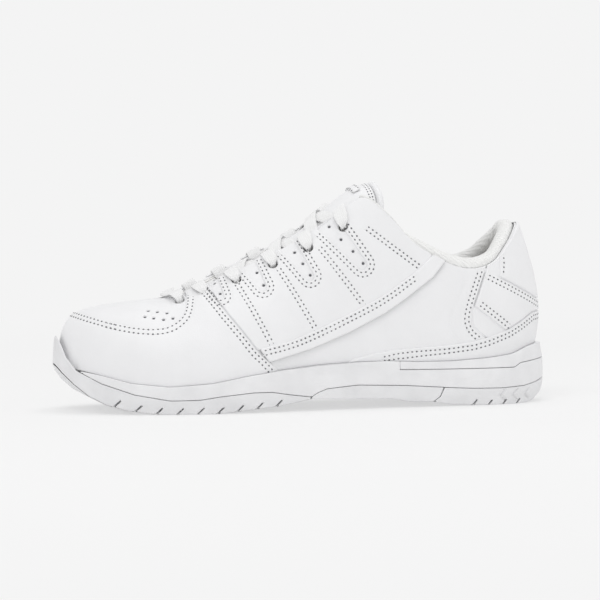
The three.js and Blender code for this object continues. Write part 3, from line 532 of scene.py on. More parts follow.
LEATHER_WHITE = leather_material("leather_white", (0.825, 0.825, 0.835), (0.85, 0.85, 0.86))
RUBBER_WHITE = moulded_material("rubber_white", (0.74, 0.74, 0.75), (0.8, 0.8, 0.81), 0.55, 1300)
FOAM_WHITE = moulded_material("foam_white", (0.77, 0.77, 0.78), (0.83, 0.83, 0.84), 0.5, 2200)
MESH_WHITE = mesh_material("mesh_white", (0.8, 0.795, 0.78), (0.93, 0.925, 0.91), 950, 130)
KNIT_WHITE = mesh_material("knit_white", (0.8, 0.795, 0.785), (0.88, 0.88, 0.87), 1500, 220)
BOARD = moulded_material("fibre_board", (0.6, 0.57, 0.5), (0.72, 0.69, 0.62), 0.8, 1800)
PLASTIC = moulded_material("white_plastic", (0.78, 0.78, 0.78), (0.82, 0.82, 0.82), 0.3, 900)
WEBBING = webbing_material("lace_webbing")
THREAD = moulded_material("thread_white", (0.8, 0.8, 0.8), (0.88, 0.88, 0.88), 0.6, 5000)
SHADE = moulded_material("hole_shade", (0.09, 0.09, 0.1), (0.16, 0.16, 0.17), 0.85, 3000)
# Dark grey for the beads at the needle holes: painted shade of the holes.
NEEDLE_SHADE = moulded_material("painted_needle_shade", (0.12, 0.12, 0.13), (0.2, 0.2, 0.21), 0.85, 3000)

CARRIED_OVER = {
    "white_leather": LEATHER_WHITE, "white_rubber": RUBBER_WHITE, "white_foam": FOAM_WHITE,
    "white_mesh": MESH_WHITE, "fibre_board": BOARD, "white_plastic": PLASTIC,
    "lace_webbing": WEBBING,
}
for part in frame["record"]["subparts"]:
    node = frame["nodes"][part["node"]]
    node.data.materials.clear()
    node.data.materials.append(CARRIED_OVER[part["material_slot"]])


# Finding a side view point on the surface ---------------------------------------------------

FIND_P = np.arange(0.02, HEEL, 0.06)
FIND_T = np.linspace(0, 1, 70)
FOUND = np.stack(np.meshgrid(FIND_P, FIND_T, indexing="ij"), -1).reshape(-1, 2)
FOUND_AT = surface(FOUND[:, 0], FOUND[:, 1])[:, [0, 2]]


def placed(points, side):
    """Places p and rises t of side view points [x, z] on one side, and how far each is off."""
    target = scaled(points)
    nearest = np.array([np.argmin(((FOUND_AT - at) ** 2).sum(1)) for at in target])
    p, t = FOUND[nearest].T.copy()
    mirror = lambda place: place if side == LATERAL else AROUND - place
    at = lambda p, t: surface(mirror(p), t)[:, [0, 2]]
    for _ in range(6):
        here = at(p, t)
        dp = (at(p + 1e-3, t) - here) / 1e-3
        dt = (at(p, t + 1e-3) - here) / 1e-3
        miss = target - here
        size = dp[:, 0] * dt[:, 1] - dp[:, 1] * dt[:, 0]
        size = np.where(np.abs(size) < 1e-3, 1e-3, size)
        p = np.clip(p + (miss[:, 0] * dt[:, 1] - miss[:, 1] * dt[:, 0]) / size, 0, HEEL)
        t = np.clip(t + (dp[:, 0] * miss[:, 1] - dp[:, 1] * miss[:, 0]) / size, 0, 1)
    return mirror(p), t, np.linalg.norm(at(p, t) - target, axis=1)


def dense(line, pitch, closed=False):
    """Points every pitch or so along a line, corners kept."""
    points = np.array(line, float)
    if closed:
        points = np.vstack([points, points[:1]])
    out = [points[0]]
    for a, b in zip(points[:-1], points[1:]):
        count = max(int(math.ceil(np.linalg.norm(b - a) / pitch)), 1)
        out += [a + (b - a) * k / count for k in range(1, count + 1)]
    return np.array(out)


def smoothed(line, rounds=2):
    """Corner cutting that keeps both ends."""
    points = np.array(line, float)
    for _ in range(rounds):
        near = points[:-1] * 0.75 + points[1:] * 0.25
        far = points[:-1] * 0.25 + points[1:] * 0.75
        middle = np.stack([near, far], 1).reshape(-1, 2)
        points = np.vstack([points[:1], middle, points[-1:]])
    return points


def beside(line, distance):
    """A line moved sideways, to its left for a positive distance."""
    points = dense(line, 2.0)
    along = unit(np.gradient(points, axis=0))
    return points + np.stack([-along[:, 1], along[:, 0]], 1) * distance


# Upper --------------------------------------------------------------------------------------

P_STEP = 0.05
T_STEPS = 92
# About the length of a rib, and a distance from its top edge that no rounding reaches.
RIB_LENGTH = 60
NO_EDGE = 9.0
STITCH_PITCH = 2.55
STITCH_LENGTH = 1.95
STITCH_WIDTH = 0.62
HOLE_LENGTH = 1.15
HOLE_WIDTH = 0.95
ON_LEATHER = 0.4
stitch_rows = []


def sew(p, t, offset):
    """Adds a stitch row: even stops along a line of places p and rises t."""
    apart = np.linalg.norm(np.diff(layer_point(p, t, offset), axis=0), axis=1)
    length = np.concatenate([[0], np.cumsum(apart)])
    stops = np.arange(STITCH_PITCH / 2, length[-1], STITCH_PITCH)
    stitch_rows.append((np.interp(stops, length, p), np.interp(stops, length, t), offset))


def sew_line(line, side, offset, highest=0.985):
    """Sews a row along a side view line, where it lies on the leather below the rise highest."""
    p, t, off = placed(dense(line, 0.8), side)
    good = (off < ON_LEATHER) & (t < highest)
    if good.sum() >= 3:
        sew(p[good], t[good], offset)


def sew_level(line, drop, p_from, p_to, offset):
    """Sews a row a little below a side view line, right round the toe or the heel."""
    ps = np.arange(p_from, p_to, 0.02)
    ts = np.linspace(0, 1, 160)
    P, T = np.meshgrid(ps, ts, indexing="ij")
    at = surface(P, T)
    above = at[..., 2] - line_height(line, at[..., 0]) + drop
    below = (above < 0).sum(1).clip(1, len(ts) - 1)
    rows = np.arange(len(ps))
    low, high = above[rows, below - 1], above[rows, below]
    share = np.clip(-low / np.where(high == low, 1, high - low), 0, 1)
    sew(ps, ts[below - 1] + share * (ts[1] - ts[0]), offset)


ROW_GAP = 2.2
FIRST_ROW = 1.7
# Straight rows between the windows of the eyestay: upper end, lower end.
BETWEEN_WINDOWS = [
    [[-42.1, 66.8], [-26.8, 34.3]], [[-20.2, 74.6], [-2.6, 42.2]], [[2.2, 85.4], [24.8, 53.4]],
    [[27.2, 95.1], [57.6, 72.3]],
]
for side in (LATERAL, MEDIAL):
    # Mudguard: upper edge and the diagonal seam at its back. Then the saddle band, the rear
    # edge of the quarter and both edges of the heel strap.
    for distance in (FIRST_ROW, FIRST_ROW + ROW_GAP):
        for line, shift, offset in (
            (smoothed(MUDGUARD_EDGE[3:-1], 1), -distance, OVERLAY_OUTER),
            (MUDGUARD_BACK[1:-1], -distance, OVERLAY_OUTER),
            (smoothed(BAND_TOP[:-1], 1), -distance, BAND_OUTER),
            (smoothed(QUARTER_BACK[1:-1], 2), -distance, 0),
            ([STRAP_EDGE[1], STRAP_EDGE[2]], -distance, OVERLAY_OUTER),
            ([STRAP_EDGE[0], STRAP_EDGE[-1]], distance, OVERLAY_OUTER),
        ):
            sew_line(beside(line, shift), side, offset)
    for line in BETWEEN_WINDOWS:
        for distance in (0, ROW_GAP):
            sew_line(beside(line, distance), side, OVERLAY_OUTER)
    tab_row = beside([TAB_EDGE[2], TAB_EDGE[3], [104.2, 96]], -FIRST_ROW)
    sew_line(tab_row, side, OVERLAY_OUTER)


def window_outline(window, grow=0.0):
    x0, z0, x1, z1, width = window
    axis = np.array([x1 - x0, z1 - z0]) / math.hypot(x1 - x0, z1 - z0)
    aside = np.array([-axis[1], axis[0]])
    start, end = np.array([x0, z0]) - axis * grow, np.array([x1, z1])
    low = 0.24 * width + grow
    outline = [start + aside * (width / 2 + grow), start - aside * (width / 2 + grow)]
    for turn in np.linspace(-math.pi / 2, math.pi / 2, 15):
        outline.append(end + axis * low * math.cos(turn) + aside * low * math.sin(turn))
    return np.array(outline)


for side in (LATERAL, MEDIAL):
    for window in WINDOWS:
        for distance in (FIRST_ROW - 0.2, FIRST_ROW - 0.2 + ROW_GAP):
            ring = window_outline(window, distance)
            line = np.vstack([ring[1:], ring[:1]])
            sew_line(line, side, OVERLAY_OUTER, highest=0.95)

for distance in (FIRST_ROW, FIRST_ROW + ROW_GAP):
    sew_level(FOXING_EDGE[1:], distance, 8.6, AROUND - 8.6, OVERLAY_OUTER)
    sew_level(MUDGUARD_EDGE[:5], distance, -2.05, 2.05, OVERLAY_OUTER)

# A pressed line in front of the quarter's rear edge, dented in but not sewn.
PRESSED_LINE = [[82.7, 66], [73.3, 47.2], [72.9, 43.2], [74.1, 38.5], [79, 31.8]]


def halved(values):
    """The values with the middle of each step put in."""
    return np.interp(np.arange(0, len(values) - 0.75, 0.5), np.arange(len(values)), values)


SEAMS = [layer_point(halved(p), halved(t), 0) for p, t, _ in stitch_rows]
for side in (LATERAL, MEDIAL):
    p, t, _ = placed(dense(smoothed(PRESSED_LINE, 1), 0.6), side)
    SEAMS.append(layer_point(p, t, 0))
seam_tree = kdtree.KDTree(sum(len(s) for s in SEAMS))
for i, at in enumerate(np.vstack(SEAMS)):
    seam_tree.insert(at, i)
seam_tree.balance()
GROOVE_DEPTH = 0.28
GROOVE_WIDTH = 0.95


def groove(points):
    """How deep each point lies in the dent that a stitch row pulls in the leather."""
    gap = np.array([seam_tree.find(at)[2] for at in points])
    return GROOVE_DEPTH * np.exp(-((gap / GROOVE_WIDTH) ** 2))


def hole_places(points, radius):
    found = []
    for side in (LATERAL, MEDIAL):
        p, t, off = placed(points, side)
        found += [(a, b, radius) for a, b, c in zip(p, t, off) if c < 0.5]
    return found


PERFORATION_RADIUS = 0.65
perforations = hole_places(PERFORATIONS, PERFORATION_RADIUS)
eyelets = [
    (place, EYELET_RISE, EYELET_RADIUS)
    for s in EYELET_STATIONS for place in (s, AROUND - s)
]


def span_grid(span, coarse=1):
    """A grid of places and rises over a span of ribs, coarse times the finest pitch."""
    rows = np.arange(span[0], span[1] + P_STEP * coarse / 2, P_STEP * coarse)
    return grid(rows, np.linspace(0, 1, T_STEPS // coarse + 1))


def skin(name, inside, outer, depth, span, holes=(), edge=0.75, grooved=True, stands_for=None):
    """One leather piece: the part of the upper where inside(p, t, x, z) is positive.

    It stands at the offset outer and drops by depth at its rounded edges and holes."""
    V, F = span_grid(span)

    def field(V):
        p, t = V.T
        at = layer_point(p, t, outer)
        f = inside(p, t, at[:, 0], at[:, 2])
        for place, rise, radius in holes:
            centre = layer_point(np.array([place]), np.array([rise]), outer)
            f = np.minimum(f, np.linalg.norm(at - centre, axis=1) - radius)
        return f, at

    near = []
    for place, rise, radius in holes:
        turns = place - AROUND * round((place - (span[0] + span[1]) / 2) / AROUND)
        near.append((turns, rise, radius))
    f, at = field(V)
    F = F[f[F].max(1) > -2]
    for reach in (1.6, 0.9):
        if not near:
            break
        middle = at[F].mean(1)
        chosen = np.zeros(len(F), bool)
        for place, rise, radius in near:
            centre = layer_point(np.array([place]), np.array([rise]), outer)
            chosen |= np.linalg.norm(middle - centre, axis=1) < radius + reach
        V, F = refine(V, F, chosen)
        f, at = field(V)
    for level in (0, 0.05 * edge, 0.2 * edge, 0.5 * edge, edge):
        V, F, f = split(V, F, f, level)
    F = F[f[F].mean(1) > 0]
    used, F = np.unique(F, return_inverse=True)
    F = F.reshape(-1, 3)
    V, f = V[used], f[used]
    offset = outer - depth * (1 - round_edge(f, edge))
    if grooved:
        offset = offset - groove(layer_point(V[:, 0], V[:, 1], 0)) * np.clip(f, 0, 1)
    points, F = merged(layer_point(V[:, 0], V[:, 1], offset), F)
    return make(name, points, F, LEATHER_WHITE,
                stands_for=(name,) if stands_for is None else stands_for)


def within(outline):
    """The inside of a side view outline."""
    def inside(p, t, x, z):
        f = inside_distance(outline, x, z)
        # The upper edge of the ribs is a cut edge wherever the shoe is open.
        open_edge = np.where(half_opening(p) > 0, (1 - t) * RIB_LENGTH, NO_EDGE)
        return np.minimum(f, open_edge)
    return inside


def moved(line, dx):
    return [[x + dx, z] for x, z in line]


VAMP_BACK = moved(MUDGUARD_BACK, -5)
QUARTER_FRONT = moved(VAMP_BACK, 1)
vamp_outline = [[-150, 5], [-150, 140], *VAMP_BACK]
quarter_outline = [
    *QUARTER_BACK, [-24, 5], *QUARTER_FRONT[::-1], [-64, 140], [96, 140],
]
heel_outline = [*moved(QUARTER_BACK, 0.5)[::-1], [96.5, 140], [150, 140], [150, 10]]
FRONT = (-7, 7)
SIDES = {"lateral": (3.0, 14.0), "medial": (AROUND - 14.0, AROUND - 3.0)}
BACK = (9.0, AROUND - 9.0)

front_holes = [hole for hole in perforations + eyelets if from_toe(hole[0]) < 5]
skin("vamp", within(vamp_outline), 0, LEATHER, FRONT, front_holes)
for side, span in SIDES.items():
    own = [hole for hole in perforations + eyelets if span[0] < hole[0] < span[1]]
    skin("quarter_" + side, within(quarter_outline), 0, LEATHER, span, own)
skin("heel_panel", within(heel_outline), 0, LEATHER, BACK)


TAPE_HALF_WIDTH = 2.5


def seam_strip(p, t, x, z):
    """A narrow strip either side of the quarter's rear edge."""
    line = scaled(dense(QUARTER_BACK[1:], 1.0))
    gap = np.full(np.shape(x), 1e9)
    for at_x, at_z in line:
        gap = np.minimum(gap, np.hypot(x - at_x, z - at_z))
    return np.minimum(TAPE_HALF_WIDTH - gap, (1 - t) * RIB_LENGTH - 2)


skin("rear_seam_tape", seam_strip, -0.62, 0.3, BACK, grooved=False, stands_for=())

mudguard_outline = [[-150, 5], [-150, 56], *MUDGUARD_EDGE[1:], *MUDGUARD_BACK]
skin("mudguard", within(mudguard_outline), OVERLAY_OUTER, 1.3, FRONT,
     [e for e in eyelets if from_toe(e[0]) < 4.5])
eyestay_front = moved(MUDGUARD_BACK[:4], 0.6)
eyestay_outline = [
    [-59.4, 140], *eyestay_front[1:], *[[x, z + 1] for x, z in BAND_BOTTOM[1:-2]][::-1],
    [63.5, 140],
]
window_outlines = [window_outline(w) for w in WINDOWS]
whole_eyestay = within(eyestay_outline)


def eyestay(p, t, x, z):
    f = whole_eyestay(p, t, x, z)
    for outline in window_outlines:
        f = np.minimum(f, -inside_distance(outline, x, z))
    return f


for side, span in SIDES.items():
    side_eyelets = [e for e in eyelets if (e[0] < HEEL) == (side == "lateral")]
    skin("eyestay_" + side, eyestay, OVERLAY_OUTER, 1.3, span, side_eyelets)
    skin("saddle_band_" + side, within([*BAND_TOP, *BAND_BOTTOM]), BAND_OUTER, 1.2, span)
skin("heel_foxing", within([*FOXING_EDGE, [150, 5], [14, 5]]), OVERLAY_OUTER, 1.3, (7, 25))
skin("heel_strap", within(STRAP_EDGE), OVERLAY_OUTER, 1.3, BACK)
skin("heel_tab", within(TAB_EDGE), OVERLAY_OUTER, 1.3, BACK)


def discs(name, places, offset, radius, material):
    """Small flat dark discs behind holes: painted shade for the dark inside of each hole, which also
    keeps one from seeing through to the lining.
    """
    points, faces = [], []
    for place, rise, _ in places:
        centre = layer_point(np.array([place]), np.array([rise]), offset)[0]
        up = shared_normal(np.array([place]), np.array([rise]))[0]
        aside = unit(np.cross(up, UP + 0.1))
        across = np.cross(up, aside)
        start = len(points)
        for turn in np.linspace(0, 2 * math.pi, 12, endpoint=False):
            points.append(centre + radius * (aside * math.cos(turn) + across * math.sin(turn)))
        faces.append(list(range(start, start + 12)))
    make(name, np.array(points), faces, material)


# Dark discs of painted shade behind the perforations, standing for the shade inside each hole.
discs("perforation_painted_shade", perforations, -0.75, PERFORATION_RADIUS + 0.5, SHADE)


# Stitching ----------------------------------------------------------------------------------


def frames_of(points, normals):
    along = unit(np.gradient(points, axis=0))
    aside = unit(np.cross(normals, along))
    return along, aside, np.cross(along, aside)


def beads(points, normals, length, width, sink, squash):
    """Long smooth beads, one at each point, along the row they lie in."""
    along, aside, up = frames_of(points, normals)
    turns = np.linspace(0, 2 * math.pi, 6, endpoint=False)
    shape = [(-1, 0.25), (-0.72, 0.8), (0, 1), (0.72, 0.8), (1, 0.25)]
    vertices, faces = [], []
    for k in range(len(points)):
        start = len(vertices)
        for reach, girth in shape:
            for turn in turns:
                vertices.append(
                    points[k] + along[k] * reach * length / 2
                    + aside[k] * girth * width / 2 * math.cos(turn)
                    + up[k] * (girth * width / 2 * squash * math.sin(turn) - sink)
                )
        for i in range(len(shape) - 1):
            for j in range(6):
                a, b = start + i * 6 + j, start + i * 6 + (j + 1) % 6
                faces.append((a, b, b + 6, a + 6))
        faces.append(tuple(range(start + 5, start - 1, -1)))
        faces.append(tuple(range(start + 24, start + 30)))
    return vertices, faces


def sewn(name, rows, body):
    """Thread, and dark beads of painted shade at the needle holes, of several rows of (points,
    normals).
    """
    for suffix, length, width, sink, squash, shift, material in (
        ("_thread", STITCH_LENGTH, STITCH_WIDTH, 0.05, 0.75, 0, THREAD),
        # Flat dark beads between the stitches: painted shade at the needle holes.
        ("_needle_hole_shade", HOLE_LENGTH, HOLE_WIDTH, 0.0, 0.3, STITCH_PITCH / 2, NEEDLE_SHADE),
    ):
        vertices, faces = [], []
        for points, normals in rows:
            along = unit(np.gradient(points, axis=0))
            v, f = beads(points + along * shift, normals, length, width, sink, squash)
            faces += [tuple(i + len(vertices) for i in face) for face in f]
            vertices += v
        make(name + suffix, np.array(vertices), faces, material, body)


upper_rows = []
for p, t, offset in stitch_rows:
    if len(p) > 2:
        sunk = offset - GROOVE_DEPTH * 0.8
        upper_rows.append((layer_point(p, t, sunk), shared_normal(p, t)))
sewn("upper_stitching", upper_rows, "shoe")


# Lining and collar --------------------------------------------------------------------------


def loft(rings):
    """Quads joining closed rings, with both ends filled."""
    n, m = rings.shape[:2]
    faces = []
    for i in range(n - 1):
        for j in range(m):
            a, b = i * m + j, i * m + (j + 1) % m
            faces.append((a, b, b + m, a + m))
    faces.append(tuple(range(m - 1, -1, -1)))
    faces.append(tuple(range((n - 1) * m, n * m)))
    return rings.reshape(-1, 3), faces


def ovals(middle, aside, over, wide, high, corners):
    """An oval ring round each point of a line, wide along aside and high along over."""
    rings = []
    for turn in np.linspace(0, 2 * math.pi, corners, endpoint=False):
        across = aside * (wide * math.cos(turn))[:, None]
        rings.append(middle + across + over * (high * math.sin(turn))[:, None])
    return np.stack(rings, 1)


def padding(p, t):
    zone = smoothstep(from_toe(p), 9.2, 11.2)
    return COLLAR_PADDING * zone * smoothstep(t, 0.3, 0.72)


# How far below its top the lining starts to turn out, and how far out it goes.
LINING_TURN = 1.6
LINING_REACH = 2.3


def lining(name, span):
    V, F = span_grid(span, coarse=2)
    p, t = V.T
    under_roll = smoothstep(from_toe(p), 8.6, 10)
    t = t * (1 - 0.06 * under_roll)
    # At the open throat edge the lining turns out to meet the leather.
    turn = np.clip((1 - t) * RIB_LENGTH / LINING_TURN, 0, 1)
    rounded = 1 - np.sqrt(np.maximum(1 - (1 - turn) ** 2, 0))
    offset = LINING_INNER - padding(p, t) + (1 - under_roll) * LINING_REACH * rounded
    points, F = merged(layer_point(p, t, offset), F[:, ::-1])
    make(name, points, F, MESH_WHITE, stands_for=(name,))


lining("vamp_lining", (-5, 5))
lining("quarter_lining", (5, AROUND - 5))

ROLL_RISE = [
    [9.3, -7], [10, -3.5], [11, 0], [12, 0.6], [13, 0.4], [14, -1], [15, -3], [16, -3.6],
]
ROLL_WIDTH = 9.0
ROLL_HEIGHT = 10.0


def collar_roll():
    ps = np.arange(9.6, AROUND - 9.6 + 0.01, 0.06)
    toe = from_toe(ps)
    share = 0.3 + 0.7 * smoothstep(toe, 9.4, 11.6)
    share *= np.sqrt(np.clip((toe - 9.55) / 0.35, 0.02, 1))
    rise = np.interp(toe, *np.array(ROLL_RISE).T)
    out = outward(ps)
    middle = rib_top(ps) + out * (-LEATHER - 0.3 - ROLL_WIDTH / 2 * share)[:, None]
    middle[:, 2] += rise
    ripple = 1 + 0.012 * np.sin(ps * 9) + 0.008 * np.sin(ps * 23 + 1)
    wide, high = ROLL_WIDTH / 2 * share * ripple, ROLL_HEIGHT / 2 * share * ripple
    points, faces = loft(ovals(middle, out, UP, wide, high, 28)[:, ::-1])
    roll = make("collar_roll", points, faces, KNIT_WHITE, stands_for=("collar_roll",))


collar_roll()

EDGE_RADIUS = 1.3
EDGE_RISE = 0.4


def collar_edge(side_name, span):
    """The thin bound edge that carries the collar roll on up to a throat corner."""
    ps = np.linspace(*span, 60)
    middle = rib_top(ps) - outward(ps) * (LEATHER + EDGE_RADIUS)
    middle[:, 2] += EDGE_RISE
    taper = EDGE_RADIUS * np.sqrt(np.clip(np.minimum(ps - ps.min(), ps.max() - ps) / 0.12, 0.02, 1))
    points, faces = loft(ovals(middle, outward(ps), UP, taper, taper, 14)[:, ::-1])
    make("collar_edge_" + side_name, points, faces, KNIT_WHITE)


collar_edge("lateral", (8.75, 10.6))
collar_edge("medial", (AROUND - 10.6, AROUND - 8.75))

# Tongue -------------------------------------------------------------------------------------

TONGUE_LINE = [
    [-78, 51], [-62, 57], [-45, 66.5], [-30, 75.5], [-15, 84.3], [0, 94], [10, 102],
    [20, 110.8], [28, 116], [36, 118.6],
]
TONGUE_ARCH = 1.2
TONGUE_CORNER = 0.07
TONGUE_PADDING = 5


def centripetal(points):
    """A smooth curve through points: returns its value at shares of its number of points."""
    points = np.asarray(points, float)
    ends = [2 * points[0] - points[1], *points, 2 * points[-1] - points[-2]]
    knots = np.array(ends)

    def at(share):
        place = np.asarray(share, float) * (len(points) - 1)
        i = np.clip(np.floor(place).astype(int), 0, len(points) - 2)
        f = (place - i)[..., None]
        a, b, c, d = (knots[i + k] for k in range(4))
        gap = lambda u, v: np.maximum(np.linalg.norm(v - u, axis=-1, keepdims=True), 1e-6) ** 0.5
        d0, d1, d2 = gap(a, b), gap(b, c), gap(c, d)
        start = ((b - a) / d0 - (c - a) / (d0 + d1) + (c - b) / d1) * d1
        end = ((c - b) / d1 - (d - b) / (d1 + d2) + (d - c) / d2) * d1
        cubic = 2 * b - 2 * c + start + end
        square = 3 * c - 3 * b - 2 * start - end
        return b + start * f + square * f**2 + cubic * f**3

    return at


def tangents(curve, share):
    low, high = np.clip(share - 1e-3, 0, 1), np.clip(share + 1e-3, 0, 1)
    return unit(curve(high) - curve(low))


tongue_points = scaled(TONGUE_LINE)
tongue_curve = centripetal(np.insert(tongue_points, 1, 0, axis=1))


def tongue_at(v, u, offset):
    v, u, offset = np.broadcast_arrays(v, u, offset)
    u = u * (1 - TONGUE_CORNER * v**4)
    middle, along = tongue_curve(u), tangents(tongue_curve, u)
    up = np.stack([-along[..., 2], 0 * u, along[..., 0]], -1)
    half_width = (15.5 + 8 * u - 5 * u * u) * WIDE
    arch = (4 + 15 * u) * TALL
    turn = v * TONGUE_ARCH
    aside = half_width / math.sin(TONGUE_ARCH)
    fall = arch / (1 - math.cos(TONGUE_ARCH))
    facing = up * (aside * np.cos(turn))[..., None]
    facing[..., 1] += fall * np.sin(turn)
    middle = middle - up * (fall * (1 - np.cos(turn)))[..., None]
    middle[..., 1] += aside * np.sin(turn)
    return middle + unit(facing) * offset[..., None]


def tongue_under(u):
    return -1.2 - TONGUE_PADDING * (0.35 + 0.65 * u)


def closed_sheet(name, point_at, rows, columns, inner, outer, material, body, stands_for,
                 edge=0.0):
    """A closed sheet between two offsets, rounded at its rim by edge (a share of rows and columns)."""
    V, F = grid(rows, columns)
    a, b = V.T
    if edge:
        span = lambda w, s: np.minimum(w - s.min(), s.max() - w) / (s.max() - s.min())
        rim = np.minimum(span(a, rows), span(b, columns) * 2)
        full = round_edge(rim, edge)
    else:
        full = np.ones(len(V))
    low, high = inner(a, b), outer(a, b)
    middle, half = (low + high) / 2, (high - low) / 2
    top = point_at(a, b, middle + half * full)
    under = point_at(a, b, middle - half * full)
    n = len(V)
    ends = np.stack([F, np.roll(F, -1, 1)], -1).reshape(-1, 2)
    keys = set(map(tuple, ends))
    rim_faces = [
        face for x, y in ends if (y, x) not in keys for face in ((y, x, x + n), (y, x + n, y + n))
    ]
    faces = np.vstack([F, F[:, ::-1] + n, np.array(rim_faces)])
    points, faces = merged(np.vstack([top, under]), faces)
    return make(name, points, faces, material, body, stands_for)


TONGUE_ACROSS = np.linspace(1, -1, 61)
TONGUE_ALONG = np.linspace(0, 1, 141)
closed_sheet(
    "tongue_shell", tongue_at, TONGUE_ACROSS, TONGUE_ALONG, lambda v, u: 0 * u - 0.9,
    lambda v, u: 0.25 * np.sin(np.pi * (v + 1) / 2) * smoothstep(u, 0.1, 0.5),
    LEATHER_WHITE, "tongue", ("tongue_shell",),
)
closed_sheet(
    "tongue_lining", tongue_at, TONGUE_ACROSS, TONGUE_ALONG, lambda v, u: tongue_under(u) - 1.0,
    lambda v, u: tongue_under(u) - 0.3, MESH_WHITE, "tongue", ("tongue_lining",),
)
foam = closed_sheet(
    "tongue_padding", tongue_at, TONGUE_ACROSS * 0.985, TONGUE_ALONG, lambda v, u: tongue_under(u),
    lambda v, u: 0 * u - 1.2, KNIT_WHITE, "tongue", ("tongue_foam",),
)


BINDING_REACH = 2.45


def binding_rings():
    vs = np.linspace(-1, 1, 61)
    depth = -tongue_under(1) + 1
    middle = tongue_at(vs, np.ones(61), -depth / 2)
    over = unit(tongue_at(vs, np.ones(61), 0.0) - middle)
    along = tangents(tongue_curve, np.ones(1))
    middle = middle + along * 2.5
    ease = np.sqrt(np.clip((1 - np.abs(vs)) / 0.03, 0.15, 1))
    reach = np.full(61, BINDING_REACH)
    return ovals(middle, along, over, reach, (depth / 2 + 0.3) * ease, 20)


points, faces = loft(binding_rings())
make("tongue_binding", points, faces, LEATHER_WHITE, "tongue", ("tongue_binding",))
closed_sheet(
    "lace_keeper", tongue_at, np.linspace(0.34, -0.34, 25), np.linspace(0.86, 0.92, 9),
    lambda v, u: 0 * u + 0.3, lambda v, u: 0 * u + 1.3, LEATHER_WHITE, "tongue",
    ("lace_keeper",), 0.12,
)
TONGUE_FACE = 0.1
KEEPER_FACE = 1.25
SIDE_ROWS = [(np.full(44, v), np.linspace(0.3, 0.985, 44)) for v in (0.9, 0.8, -0.8, -0.9)]
TOP_ROWS = [(np.linspace(-0.92, 0.92, 26), np.full(26, u)) for u in (0.985, 0.965)]
KEEPER_ROWS = [(np.linspace(-0.3, 0.3, 8), np.full(8, u)) for u in (0.868, 0.912)]
tongue_rows = []
for rows, offset in ((SIDE_ROWS + TOP_ROWS, TONGUE_FACE), (KEEPER_ROWS, KEEPER_FACE)):
    for vs, us in rows:
        at = tongue_at(vs, us, offset)
        tongue_rows.append((at, unit(tongue_at(vs, us, offset + 1) - at)))
sewn("tongue_stitching", tongue_rows, "tongue")

# Lace ---------------------------------------------------------------------------------------

TOP_EYELET = len(EYELET_STATIONS) - 1
HOLE_SQUEEZE = 0.46
LACE_REST = LACE_THICKNESS / 2 + LACE_CLEARANCE
BAR_RISE = 8.5
TAIL = [[0.1, 0.74, 0.5], [0.15, 0.62, 1.5], [0.2, 0.5, 3.5]]
TONGUE_SHARES = np.linspace(0, 1, 400)
TONGUE_X = tongue_curve(TONGUE_SHARES)[:, 0]


def eyelet_at(where, side):
    return where if side == LATERAL else AROUND - where


def layer_stop(place, t, offset, squeeze=1.0):
    return layer_point(np.array([place]), np.array([t]), offset)[0], squeeze


def over_tongue(side, from_x, to_x, rise):
    stops = []
    for aside in (2 / 3, 2 / 9, -2 / 9, -2 / 3):
        x = from_x + (to_x - from_x) * (1 - aside) / 2
        share = np.interp(x, TONGUE_X, TONGUE_SHARES)
        at = tongue_at(np.array([side * aside]), np.array([share]), rise)[0]
        stops.append((at, 1.0))
    return stops


def up_through_hole(where, side):
    place = eyelet_at(where, side)
    return [
        layer_stop(place, EYELET_RISE, LACE_UNDER, 0.7),
        layer_stop(place, EYELET_RISE, -LEATHER, HOLE_SQUEEZE),
        layer_stop(place, EYELET_RISE, OVERLAY_OUTER, HOLE_SQUEEZE),
        layer_stop(place, EYELET_RISE + 0.02, LACE_OVER, 0.8),
    ]


def over_edge(where, side):
    place = eyelet_at(where, side)
    edge = layer_stop(place, 1, 0)[0]
    clear = unit(edge - layer_stop(place, 0.9, 0)[0]) * (LACE_THICKNESS / 2 + LACE_CLEARANCE)
    corner = lambda offset: (layer_stop(place, 1, offset)[0] + clear, 1.0)
    return [layer_stop(place, 0.93, LACE_OVER), corner(OVERLAY_OUTER), corner(LINING_INNER)]


def under_edge(where, side):
    place = eyelet_at(where, side)
    return [layer_stop(place, 1, LACE_UNDER), layer_stop(place, 0.93, LACE_UNDER)]


def rib_x(where):
    return rib_top(np.array([where]))[0, 0]


def tail_stops(side):
    top = EYELET_STATIONS[TOP_EYELET]
    return [
        layer_stop(eyelet_at(top + step, side), t, LACE_UNDER - deep, 0.6)
        for step, t, deep in TAIL
    ]


def lace_half(side):
    """From the bar in front to the tail: under the first eyelets, then up each hole in turn."""
    first = EYELET_STATIONS[0]
    stops = [*up_through_hole(first, side)[::-1], *under_edge(first, side)[::-1]]
    near = side
    for k in range(TOP_EYELET):
        here, there = EYELET_STATIONS[k], EYELET_STATIONS[k + 1]
        lifted = side if k == 0 else near
        rise = LACE_REST + (LACE_THICKNESS + 0.3 if lifted == LATERAL else 0)
        stops += over_tongue(near, rib_x(here), rib_x(there), rise)
        near = -near
        if k + 1 < TOP_EYELET:
            stops += under_edge(there, near) + up_through_hole(there, near)
            stops += over_edge(there, near)
        else:
            stops += over_edge(there, near)[::-1] + up_through_hole(there, near)[::-1]
            stops += tail_stops(near)
    return stops


def lace_route():
    first = EYELET_STATIONS[0]
    bar = [
        layer_stop(eyelet_at(first, LATERAL), 0.93, LACE_OVER),
        *over_tongue(LATERAL, rib_x(first), rib_x(first), BAR_RISE)[1:-1],
        layer_stop(eyelet_at(first, MEDIAL), 0.93, LACE_OVER),
    ]
    return [*lace_half(LATERAL)[::-1], *bar, *lace_half(MEDIAL)]


